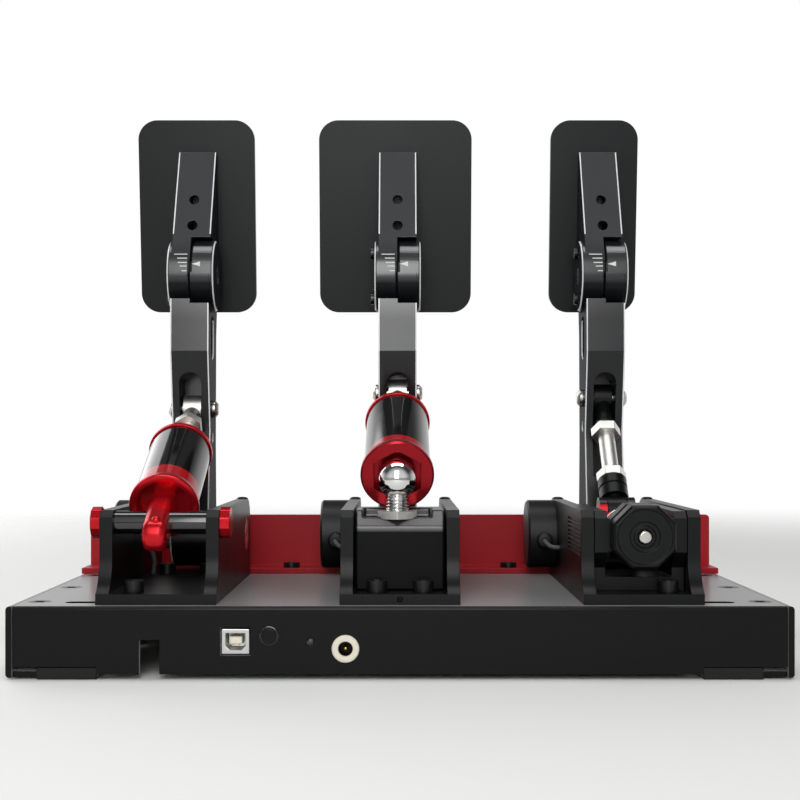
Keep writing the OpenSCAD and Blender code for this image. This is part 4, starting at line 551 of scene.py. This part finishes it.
def begin(name, primitive, **settings):
    """Adds a primitive with nothing else selected, and names it."""
    bpy.ops.object.select_all(action="DESELECT")
    primitive(**settings)
    piece = bpy.context.object
    piece.name = piece.data.name = name
    return piece


def pick(piece, wanted, points=False):
    """Goes into edit mode with only the faces selected that pass a test, or only the points."""
    mode("EDIT")
    bpy.ops.mesh.select_mode(type="VERT" if points else "FACE")
    bpy.ops.mesh.select_all(action="DESELECT")
    mode("OBJECT")
    for item in piece.data.vertices if points else piece.data.polygons:
        item.select = bool(wanted(item))
    mode("EDIT")


def extrude(way):
    """Draws what is selected out along a way."""
    bpy.ops.mesh.extrude_region_move(TRANSFORM_OT_translate={"value": way})


def face_out():
    """Leaves edit mode with every face pointing outwards."""
    bpy.ops.mesh.select_all(action="SELECT")
    bpy.ops.mesh.normals_make_consistent(inside=False)
    mode("OBJECT")


def apply_modifiers():
    """Makes the modifiers of the active piece part of its mesh."""
    for step in list(bpy.context.object.modifiers):
        bpy.ops.object.modifier_apply(modifier=step.name)


# %% [markdown]
# ### Marks on the tilt hinges
# Each upper arm carries five engraved lines on its half of the hinge, about 7 degrees apart and shorter downwards.
# A line is one facet of an open cylinder a little larger than the hinge: the other facets are deleted, and a
# Solidify modifier gives what is left the thickness of ink.

# %% White fill of the marks
ink, tree, shader, place = start_finish("engraved_white_fill", "#d4d5d6", 0, 0.5)
vary(tree, shader, place, 0.4, ("#b9babc", "#e6e7e8"), detail=2)
print("made", ink.name)

# %% Five hinge lines: degrees above the hinge's middle, far end in mm
MODULES = {"throttle": -0.103, "brake": 0.0, "clutch": 0.103}
LINES = [(30.7, 9.2), (23.2, 7.5), (16.1, 7.1), (9.3, 6.1), (2.5, 5.1)]
NEAR_END, INK_PROUD, INK_DEPTH = 2.6, 0.00004, 0.00003


def on_rim(x, degrees, proud=0.0):
    """The point on the hinge's front that lies so many degrees above its middle."""
    lift, reach = math.radians(degrees), HINGE_R + proud
    return Vector((x, HINGE_Y - reach * math.cos(lift), HINGE_Z + reach * math.sin(lift)))


strokes = []
for degrees, far_end in LINES:
    stroke = begin("stroke", bpy.ops.mesh.primitive_cylinder_add, vertices=240, radius=HINGE_R + INK_PROUD,
                   depth=(far_end - NEAR_END) / 1000, end_fill_type="NOTHING",
                   location=(-(far_end + NEAR_END) / 2000, HINGE_Y, HINGE_Z), rotation=(0, QUARTER, 0))
    bpy.ops.object.transform_apply()
    aim = on_rim(0, degrees)
    kept = min(stroke.data.polygons, key=lambda face: (face.center.yz - aim.yz).length).index
    pick(stroke, lambda face: face.index != kept)
    bpy.ops.mesh.delete(type="FACE")
    mode("OBJECT")
    strokes.append(stroke)
for stroke in strokes:
    stroke.select_set(True)
bpy.ops.object.join()
lines = bpy.context.object
lines.modifiers.new("ink_depth", "SOLIDIFY").thickness = INK_DEPTH
apply_modifiers()
print("hinge lines:", len(LINES), "of", len(lines.data.polygons), "faces in all")

# %% [markdown]
# The lower arm's half carries an arrow that points at the lines. A flat square becomes a triangle when two of its
# corners are merged, and an extrusion gives it a little depth.

# %% Arrow
ARROW_LIFT, ARROW_TIP, ARROW_BACK, ARROW_HALF = 13.3, -0.2, 3.95, 1.25
ARROW_DEPTH, ARROW_PROUD = 0.00025, 0.0001
arrow = begin("arrow", bpy.ops.mesh.primitive_plane_add, size=1)
mode("EDIT")
bpy.ops.transform.resize(value=((ARROW_BACK - ARROW_TIP) / 1000, 2 * ARROW_HALF / 1000, 1))
pick(arrow, lambda point: point.co.x < 0, points=True)
bpy.ops.mesh.merge(type="CENTER")
bpy.ops.mesh.select_all(action="SELECT")
extrude((0, 0, -ARROW_DEPTH))
face_out()
arrow.rotation_euler = (QUARTER - math.radians(ARROW_LIFT), 0, 0)
arrow.location = on_rim((ARROW_TIP + ARROW_BACK) / 2000, ARROW_LIFT, ARROW_PROUD)
bpy.ops.object.transform_apply()
print("arrow:", len(arrow.data.polygons), "faces")

# %% [markdown]
# The marks are modelled once and copied to each pedal. A finished piece gets its place and finish, and is
# hung on the body that carries it: the lines move with the tilting face, the arrow with the arm.


# %% Marks on all three pedals
def take(piece):
    """Makes a piece the only one selected, and the active one."""
    bpy.ops.object.select_all(action="DESELECT")
    piece.select_set(True)
    bpy.context.view_layer.objects.active = piece


def twin(piece, name):
    """A copy of a piece with a mesh of its own."""
    take(piece)
    bpy.ops.object.duplicate(linked=False)
    bpy.context.object.name = bpy.context.object.data.name = name
    return bpy.context.object


def settle(piece, place, axis, body, finish, slot, *stands_for):
    """Points a piece's Z along an axis, puts it in its place, finishes it and hangs it on its body."""
    take(piece)
    piece.location = place
    piece.rotation_euler = Vector(UP).rotation_difference(Vector(axis)).to_euler()
    bpy.ops.object.transform_apply()
    piece.data.materials.clear()
    piece.data.materials.append(finish)
    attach(piece, body)
    if stands_for:
        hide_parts(*stands_for)


UP = (0, 0, 1)
for pedal, x in MODULES.items():
    settle(twin(lines, pedal + "_hinge_lines"), (x, 0, 0), UP, pedal + "_face", ink, "zinc_steel")
    settle(twin(arrow, pedal + "_hinge_arrow"), (x, 0, 0), UP, pedal + "_arm", ink, "zinc_steel")
for first in (lines, arrow):
    bpy.data.objects.remove(first)
print("hinge marks on", list(MODULES))

# %% [markdown]
# ### Springs
# A spring is a wire section wound round an axis, which is what the Screw modifier does. The clutch spring is
# squeezed by its guide bolt and the throttle's return spring by its rod.


# %% Two wound springs
def wind(name, radius, wire_r, length, turns):
    """A left-hand coil along Z in millimetres, from the middle of its first wire to that of its last."""
    piece = begin(name, bpy.ops.mesh.primitive_circle_add, vertices=14, radius=wire_r / 1000,
                  fill_type="NOTHING", location=(radius / 1000, 0, 0), rotation=(QUARTER, 0, 0))
    bpy.ops.object.transform_apply()
    screw = piece.modifiers.new("wind", "SCREW")
    screw.axis, screw.angle, screw.iterations = "Z", -2 * math.pi, turns
    screw.screw_offset = length / turns / 1000
    screw.steps = screw.render_steps = 40
    apply_modifiers()
    mode("EDIT")
    bpy.ops.mesh.select_all(action="SELECT")
    bpy.ops.mesh.fill_holes(sides=0)
    face_out()
    bpy.ops.object.shade_smooth_by_angle(angle=math.radians(40))
    return piece


COIL_X, COIL_Y, COIL_Z, COIL_WIRE = 0.103, -0.118, 0.0593, 1.5
clutch_coil = wind("clutch_coil", 7.5, COIL_WIRE, 37.8, 7)
settle(clutch_coil, (COIL_X, COIL_Y, COIL_Z), (0, 1, 0), "base", black_steel, "black_screw", "clutch_spring")
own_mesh(clutch_coil)

RETURN_FROM, RETURN_WIRE = 0.0287, 1.2
start = DAMPER_FOOT + RETURN_FROM * DAMPER_AXIS
throttle_coil = wind("throttle_coil", 9.4, RETURN_WIRE, 23.6, 6)
settle(throttle_coil, start, DAMPER_AXIS, "throttle_barrel", nickel, "zinc_steel", "throttle_spring")
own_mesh(throttle_coil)
for coil in (clutch_coil, throttle_coil):
    print(coil.name, len(coil.data.polygons), "faces")

# %% [markdown]
# ### Brake elastomers
# Four polyurethane rings are squeezed in the brake's tube. Round pieces like these are turned as on a lathe: an
# outline is drawn by extruding a point, and spun. One ring gets rounded rims and a hollow waist, and the others
# are copies.


# %% Lathe
def turn(name, outline, sides=48):
    """Draws an outline of (radius, height) in millimetres point by point, and spins it round Z."""
    piece = begin(name, bpy.ops.mesh.primitive_plane_add, size=0.001)
    mode("EDIT")
    bpy.ops.mesh.select_mode(type="VERT")
    bpy.ops.mesh.select_all(action="SELECT")
    bpy.ops.mesh.merge(type="CENTER")
    bpy.ops.transform.translate(value=(outline[0][0] / 1000, 0, outline[0][1] / 1000))
    for (r0, z0), (r1, z1) in zip(outline, outline[1:]):
        extrude(((r1 - r0) / 1000, 0, (z1 - z0) / 1000))
    bpy.ops.mesh.select_all(action="SELECT")
    bpy.ops.mesh.spin(steps=sides, angle=2 * math.pi, center=(0, 0, 0), axis=(0, 0, 1))
    bpy.ops.mesh.select_all(action="SELECT")
    bpy.ops.mesh.remove_doubles(threshold=0.000002)
    face_out()
    bpy.ops.object.shade_smooth_by_angle(angle=math.radians(38))
    return piece


# %% Four rubber rings
RING_L, RING_R, RING_BORE, RING_STEP, RING_START = 8.45, 12.95, 4.0, 8.75, 16.15
half = [(RING_BORE, 0.4), (RING_BORE + 0.4, 0), (RING_R - 1.0, 0), (RING_R - 0.3, 0.3), (RING_R, 1.0),
        (RING_R - 0.45, 2.6)]
waist = [(RING_R - 0.6, RING_L / 2)]
other_half = [(radius, RING_L - high) for radius, high in reversed(half)]
ring = turn("elastomer", half + waist + other_half + half[:1])
for count in range(4):
    along = (RING_START + count * RING_STEP) / 1000
    made = twin(ring, f"elastomer_{count + 1}")
    settle(made, BRAKE_FOOT + along * BRAKE_AXIS, BRAKE_AXIS, "brake_barrel", moulded["red_polyurethane"],
           "red_elastomer", "brake_elastomers")
    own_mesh(made)
bpy.data.objects.remove(ring)
print("elastomers: 4 of", RING_L, "mm")

# %% [markdown]
# ### Sensor leads
# Each angle sensor has a short lead that goes through the wall and the floor to the board. The drawing's leads
# are eight-sided; a curve through the same points, with a round bevel, makes them smooth.

# %% Three leads
LEAD_R, HEADERS = 1.1, {"throttle": -68.8, "brake": -54.8, "clutch": -41.4}
FRAME_Y, FRAME_Z, DROP_X = -0.140, 0.0305, -17
jacket = bpy.data.curves.new("smooth_leads", "CURVE")
jacket.dimensions, jacket.bevel_depth, jacket.bevel_resolution = "3D", LEAD_R / 1000, 4
jacket.use_fill_caps, jacket.resolution_u = True, 10
for pedal, x in MODULES.items():
    end = HEADERS[pedal] - 1000 * x
    run = end - DROP_X
    route = [
        (-31.7, 106.6, 20), (-31.7, 103.7, 19.5), (-29.2, 100.3, 17.4), (-24.5, 99.5, 17), (-19.6, 99.5, 16.6),
        (DROP_X, 99.5, 13), (DROP_X, 99.5, 4.5), (DROP_X, 99.5, -5), (DROP_X + 0.1 * run, 94.5, -9.5),
        (DROP_X + 0.55 * run, 71.5, -10), (end, 47, -9), (end, 40.6, -11), (end, 40, -14.2),
    ]
    spline = jacket.splines.new("BEZIER")
    spline.bezier_points.add(len(route) - 1)
    for point, (across, depth, high) in zip(spline.bezier_points, route):
        point.co = (x + across / 1000, depth / 1000 + FRAME_Y, high / 1000 + FRAME_Z)
        point.handle_left_type = point.handle_right_type = "AUTO"
leads = bpy.data.objects.new("smooth_leads", jacket)
bpy.context.collection.objects.link(leads)
jacket.materials.append(moulded["grey_cable_jacket"])
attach(leads, "base")
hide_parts("sensor_leads")
print("leads:", len(jacket.splines), "splines of", len(route), "points")

# %% [markdown]
# A grommet with a rounded lip keeps each lead from chafing where it leaves the housing. One is turned and copied.

# %% Three grommets
GROMMET_X, GROMMET_Y, GROMMET_Z, GROMMET_BORE = -0.0317, 0.1051 + FRAME_Y, 0.0505, 1.12
grommet = turn("grommet", [(GROMMET_BORE, 0), (2.6, 0), (3.3, 0.2), (3.8, 0.7), (4.0, 1.4), (4.0, 5.0),
                           (GROMMET_BORE, 5.0), (GROMMET_BORE, 0)], 40)
for pedal, x in MODULES.items():
    settle(twin(grommet, pedal + "_grommet"), (x + GROMMET_X, GROMMET_Y, GROMMET_Z), (0, 1, 0), "base",
           moulded["moulded_black_plastic"], "black_plastic")
bpy.data.objects.remove(grommet)
print("grommets on", list(MODULES))

# %% [markdown]
# ### Lower arms with a free hinge disc
# On the real arm the right half of the hinge stands free above a ledge, as the left half does. A block with a
# round hollow, which follows the disc, is made once. A copy of each CAD arm is merged, and the block is taken out
# of it in front of the disc with a Boolean modifier.


# %% Block that frees the disc
def carve(piece, tool):
    """Takes one shape out of another with a Boolean modifier, and throws the tool away."""
    cut = piece.modifiers.new("cut", "BOOLEAN")
    cut.object, cut.operation = tool, "DIFFERENCE"
    take(piece)
    apply_modifiers()
    bpy.data.objects.remove(tool)


SPLIT_X, LEDGE_DROP, RUN_GAP = -0.00105, 0.0152, 0.00002
relief = begin("relief", bpy.ops.mesh.primitive_cube_add, size=1, scale=(0.02, 0.04, LEDGE_DROP - 0.0004),
               location=(SPLIT_X + 0.01, HINGE_Y - 0.02, HINGE_Z - LEDGE_DROP / 2 - 0.0002))
bpy.ops.object.transform_apply()
drum = begin("drum", bpy.ops.mesh.primitive_cylinder_add, vertices=144, radius=HINGE_R + RUN_GAP, depth=0.08,
             location=(0, HINGE_Y, HINGE_Z), rotation=(0, QUARTER, 0))
bpy.ops.object.transform_apply()
carve(relief, drum)
print("relief:", len(relief.data.polygons), "faces")

# %% Three lower arms
for pedal, x in MODULES.items():
    tool = twin(relief, pedal + "_relief")
    tool.location.x = x
    bpy.ops.object.transform_apply()
    arm = bpy.data.objects.new(pedal + "_free_disc_arm", nodes[pedal + "_lower_arm"].data.copy())
    bpy.context.collection.objects.link(arm)
    take(arm)
    pick(arm, lambda face: True)
    bpy.ops.mesh.remove_doubles(threshold=0.00001)
    mode("OBJECT")
    carve(arm, tool)
    bpy.ops.object.shade_smooth_by_angle(angle=math.radians(30))
    break_edges(arm, 0.3)
    apply_modifiers()
    settle(arm, (0, 0, 0), UP, pedal + "_arm", anodised["black_anodised_arm"], "black_anodised",
           pedal + "_lower_arm")
    print(arm.name, len(arm.data.polygons), "faces")
bpy.data.objects.remove(relief)

# %% [markdown]
# ### Damper foot
# The damper ends in a dished cap with a finger that hooks over the cross shaft. The cap is turned. The finger
# starts as a flat outline with a round end, is extruded to its width, rounded along both sides, and bored for the
# shaft. A small domed screw sits on it.

# %% Cap of the damper
CAP_FRONT, CAP_LAP, CAP_IN, CAP_PLUG = 14.0, 6.0, 12.95, 27.0
cap = turn("damper_cap", [
    (0, 20), (11.2, 20), (11.8, 19.4), (12, 18.8), (12, 14.5), (12.15, 14.15), (12.5, CAP_FRONT), (15, CAP_FRONT),
    (15.35, 14.15), (15.5, 14.5), (15.5, 16.2), (15.3, 16.7), (14.2, CAP_FRONT + CAP_LAP),
    (CAP_IN, CAP_FRONT + CAP_LAP), (CAP_IN, CAP_PLUG), (0, CAP_PLUG)], 72)
settle(cap, DAMPER_FOOT, DAMPER_AXIS, "throttle_barrel", red_anodised, "red_anodised", "throttle_damper_eye")
print(cap.name, len(cap.data.polygons), "faces")

# %% Finger over the cross shaft
FINGER_L, FINGER_H, FINGER_W, FINGER_OUT = 0.041, 0.014, 0.0105, 0.0175
FINGER_END, FINGER_SIDE, FINGER_BORE = 0.0066, 0.0034, 0.00505
finger = begin("damper_finger", bpy.ops.mesh.primitive_plane_add, size=1)
mode("EDIT")
bpy.ops.transform.resize(value=(FINGER_L, FINGER_H, 1))
bpy.ops.transform.translate(value=(FINGER_OUT - FINGER_L / 2, 0, 0))
pick(finger, lambda point: point.co.x > 0, points=True)
bpy.ops.mesh.bevel(affect="VERTICES", offset=FINGER_END, segments=12)
bpy.ops.mesh.select_mode(type="FACE")
bpy.ops.mesh.select_all(action="SELECT")
extrude((0, 0, FINGER_W))
bpy.ops.mesh.select_all(action="SELECT")
bpy.ops.transform.translate(value=(0, 0, -FINGER_W / 2))
face_out()
soft = finger.modifiers.new("rounding", "BEVEL")
soft.width, soft.segments, soft.use_clamp_overlap = FINGER_SIDE, 6, False
soft.limit_method, soft.angle_limit = "ANGLE", math.radians(50)
apply_modifiers()
bpy.ops.object.shade_smooth_by_angle(angle=math.radians(40))
finger.rotation_euler = (0, QUARTER, 0)
bpy.ops.object.transform_apply()
drill = begin("drill", bpy.ops.mesh.primitive_cylinder_add, vertices=64, radius=FINGER_BORE, depth=0.03,
              rotation=(0, QUARTER, 0))
bpy.ops.object.transform_apply()
carve(finger, drill)
finger.modifiers.new("even_shading", "WEIGHTED_NORMAL").keep_sharp = True
apply_modifiers()
settle(finger, DAMPER_FOOT, DAMPER_AXIS, "throttle_barrel", red_anodised, "red_anodised")
print(finger.name, len(finger.data.polygons), "faces")

# %% Screw on the finger
SCREW_OUT, SCREW_RIGHT = 0.0105, Vector((0.0008, 0, 0))
UPWARD = Vector((0, -DAMPER_AXIS.z, DAMPER_AXIS.y))
screw = turn("damper_screw", [(0, 1.75), (0.5, 1.7), (1.1, 1.45), (1.6, 0.95), (1.85, 0.4), (1.9, 0), (1.9, -2),
                              (0, -2)], 32)
settle(screw, DAMPER_FOOT - SCREW_OUT * DAMPER_AXIS + FINGER_H / 2 * UPWARD + SCREW_RIGHT, UPWARD,
       "throttle_barrel", red_anodised, "red_anodised")
print(screw.name, len(screw.data.polygons), "faces")

# %% [markdown]
# ### Screws on the frames' walls
# The walls carry low pan-head screws. One is turned with a domed head, a driver recess and a shank, and copied.

# %% Six pan-head screws
WALL_X, WALL_Y, WALL_Z = 0.02275, -0.009, 0.070
pan = turn("pan_screw", [(0, 0.35), (0.8, 0.35), (0.95, 0.95), (1.5, 0.9), (2.2, 0.7), (2.7, 0.35), (2.9, 0),
                         (1.45, 0), (1.45, -6), (0, -6)], 36)
for pedal, x in MODULES.items():
    for side, sign in (("left", -1), ("right", 1)):
        settle(twin(pan, f"{pedal}_pan_screw_{side}"), (x + sign * WALL_X, WALL_Y, WALL_Z), UP, "base",
               black_steel, "black_screw", "clamp_screws")
bpy.data.objects.remove(pan)
print("pan screws: 6")

# %% [markdown]
# ### Data socket
# The square data socket has a shell with a thick rim, a mouth with two cut corners, and a nylon tongue with
# brass contacts. The shell is a block whose front is inset, bevelled at two corners and pushed in. Its pieces
# are modelled facing up, where "front" is simply Z, and then tipped towards the camera.


# %% Shell of the data socket
def face_camera(piece, x, y, z, body, finish, slot, *stands_for):
    """Turns a piece that was modelled facing up so that it faces the camera with its Y upright."""
    take(piece)
    piece.rotation_euler = (QUARTER, 0, 0)
    bpy.ops.object.transform_apply()
    settle(piece, (x, y, z), UP, body, finish, slot, *stands_for)


USB_X, USB_Z, SKIRT_Y = -0.0688, 0.0158, -0.140
SHELL_W, SHELL_H, SHELL_L, SHELL_RIM = 0.0116, 0.0104, 0.0156, 0.0017
SHELL_BEHIND, MOUTH = 0.0002, 0.0095
shell = begin("data_socket", bpy.ops.mesh.primitive_cube_add, size=1)
mode("EDIT")
bpy.ops.transform.resize(value=(SHELL_W, SHELL_H, SHELL_L))
pick(shell, lambda face: face.normal.z > 0.9)
bpy.ops.mesh.inset(thickness=SHELL_RIM)
pick(shell, lambda point: point.co.z > 0.007 and -0.0045 < point.co.y < -0.002 and abs(point.co.x) < 0.005,
     points=True)
bpy.ops.mesh.bevel(affect="VERTICES", offset=SHELL_RIM, segments=1)
pick(shell, lambda face: face.normal.z > 0.9 and Vector(face.center.xy).length < 0.002)
extrude((0, 0, -MOUTH))
mode("OBJECT")
rim = shell.modifiers.new("rim", "BEVEL")
rim.width, rim.segments, rim.limit_method, rim.angle_limit = 0.0003, 2, "ANGLE", math.radians(30)
apply_modifiers()
face_camera(shell, USB_X, SKIRT_Y + SHELL_L / 2 + SHELL_BEHIND, USB_Z, "base", tin, "socket_shell", "usb_socket")
print(shell.name, len(shell.data.polygons), "faces")

# %% [markdown]
# The tongue is a block with a slightly raised end. A contact is a thin strip whose tip is extruded and bent down,
# and four copies lie on the two sides of the tongue.

# %% Tongue and contacts of the data socket
TONGUE, STRIP = (0.0054, 0.0032, 0.0085), (0.0010, 0.0003, 0.0065)
TONGUE_BEHIND, STRIP_BEHIND, NOSE = 0.0058, 0.0062, 0.0005
CONTACTS = [(-0.00125, 0.0020), (0.00125, 0.0020), (-0.00125, -0.0014), (0.00125, -0.0014)]
tongue = begin("data_socket_tongue", bpy.ops.mesh.primitive_cube_add, size=1)
mode("EDIT")
bpy.ops.transform.resize(value=TONGUE)
pick(tongue, lambda face: face.normal.z > 0.9)
bpy.ops.mesh.inset(thickness=NOSE)
bpy.ops.transform.translate(value=(0, 0, NOSE))
mode("OBJECT")
face_camera(tongue, USB_X, SKIRT_Y + TONGUE_BEHIND, USB_Z + 0.0003, "base", moulded["cream_nylon"],
            "cream_plastic")
strip = begin("contact", bpy.ops.mesh.primitive_cube_add, size=1)
mode("EDIT")
bpy.ops.transform.resize(value=STRIP)
pick(strip, lambda face: face.normal.z > 0.9)
extrude((0, -0.0002, 0.0006))
mode("OBJECT")
for count, (right, high) in enumerate(CONTACTS):
    face_camera(twin(strip, f"data_contact_{count + 1}"), USB_X + right, SKIRT_Y + STRIP_BEHIND, USB_Z + high,
                "base", brass, "brass")
bpy.data.objects.remove(strip)
print(tongue.name, "with", len(CONTACTS), "contacts")

# %% [markdown]
# ### Power socket and button
# The round power socket is a cream flange round a dark bore with a brass pin. The button beside the data socket
# sits in a polished bezel. All four are turned, and their outlines start at the skirt's front.

# %% Power socket and button bezel
JACK, JACK_BORE = (-0.0228, SKIRT_Y, 0.0128), 3.05
BUTTON, BEZEL_IN = (-0.0548, SKIRT_Y, 0.0182), 3.56
FORWARD = (0, -1, 0)
flange = turn("power_socket_flange", [
    (JACK_BORE, -10), (5.3, -10), (5.3, -0.6), (5.75, -0.4), (5.8, 0.3), (5.5, 0.75), (5.1, 0.9), (3.5, 0.9),
    (3.2, 0.75), (JACK_BORE, 0.4), (JACK_BORE, -10)])
settle(flange, JACK, FORWARD, "base", moulded["cream_nylon"], "cream_plastic", "power_socket")
bore = turn("power_socket_bore", [(0, -9.6), (2.9, -9.6), (2.9, -0.2), (3.06, -0.2), (3.06, -10), (0, -10)], 40)
settle(bore, JACK, FORWARD, "base", moulded["moulded_black_plastic"], "black_plastic")
pin = turn("power_socket_pin", [(0, -0.7), (0.35, -0.75), (0.7, -1.0), (0.9, -1.4), (0.95, -2.0), (0.95, -9.7),
                                (0, -9.7)], 32)
settle(pin, JACK, FORWARD, "base", brass, "brass")
bezel = turn("button_bezel", [(BEZEL_IN, -0.2), (BEZEL_IN, 0.35), (3.75, 0.55), (4.0, 0.5), (4.2, 0.25),
                              (4.25, -0.2), (BEZEL_IN, -0.2)], 40)
settle(bezel, BUTTON, FORWARD, "base", tubes["polished_black_shaft"], "black_plastic")
print("made", [made.name for made in (flange, bore, pin, bezel)])

# %% [markdown]
# ## The floor
# The object stands on white paper. A disc with an edge would draw a line across the picture, so its alpha fades
# with the distance, and the paper melts into the white room. It belongs to the stage and not to the part.

# %% Floor that fades into the white room
FLOOR_R, FADE_FROM, FADE_TO = 1.6, 0.45, 1.5
floor = begin("studio_floor", bpy.ops.mesh.primitive_circle_add, vertices=96, radius=FLOOR_R, fill_type="NGON",
              location=(0, 0, -0.0002))
paper, tree, shader, place = start_finish("white_paper_floor", "#f4f4f2", 0, 0.7)
vary(tree, shader, place, 2, relief=(0.05, 0.0001), detail=2)
away = add(tree, "ShaderNodeVectorMath", {0: place}, operation="LENGTH")
fade = add(tree, "ShaderNodeMapRange", {
    "Value": away, "From Min": FADE_FROM, "From Max": FADE_TO, "To Min": 1.0, "To Max": 0.0,
}, interpolation_type="SMOOTHSTEP")
wire(tree, shader, {"Alpha": fade})
floor.data.materials.append(paper)
print("floor:", paper.name, "fading from", FADE_FROM, "to", FADE_TO, "m")
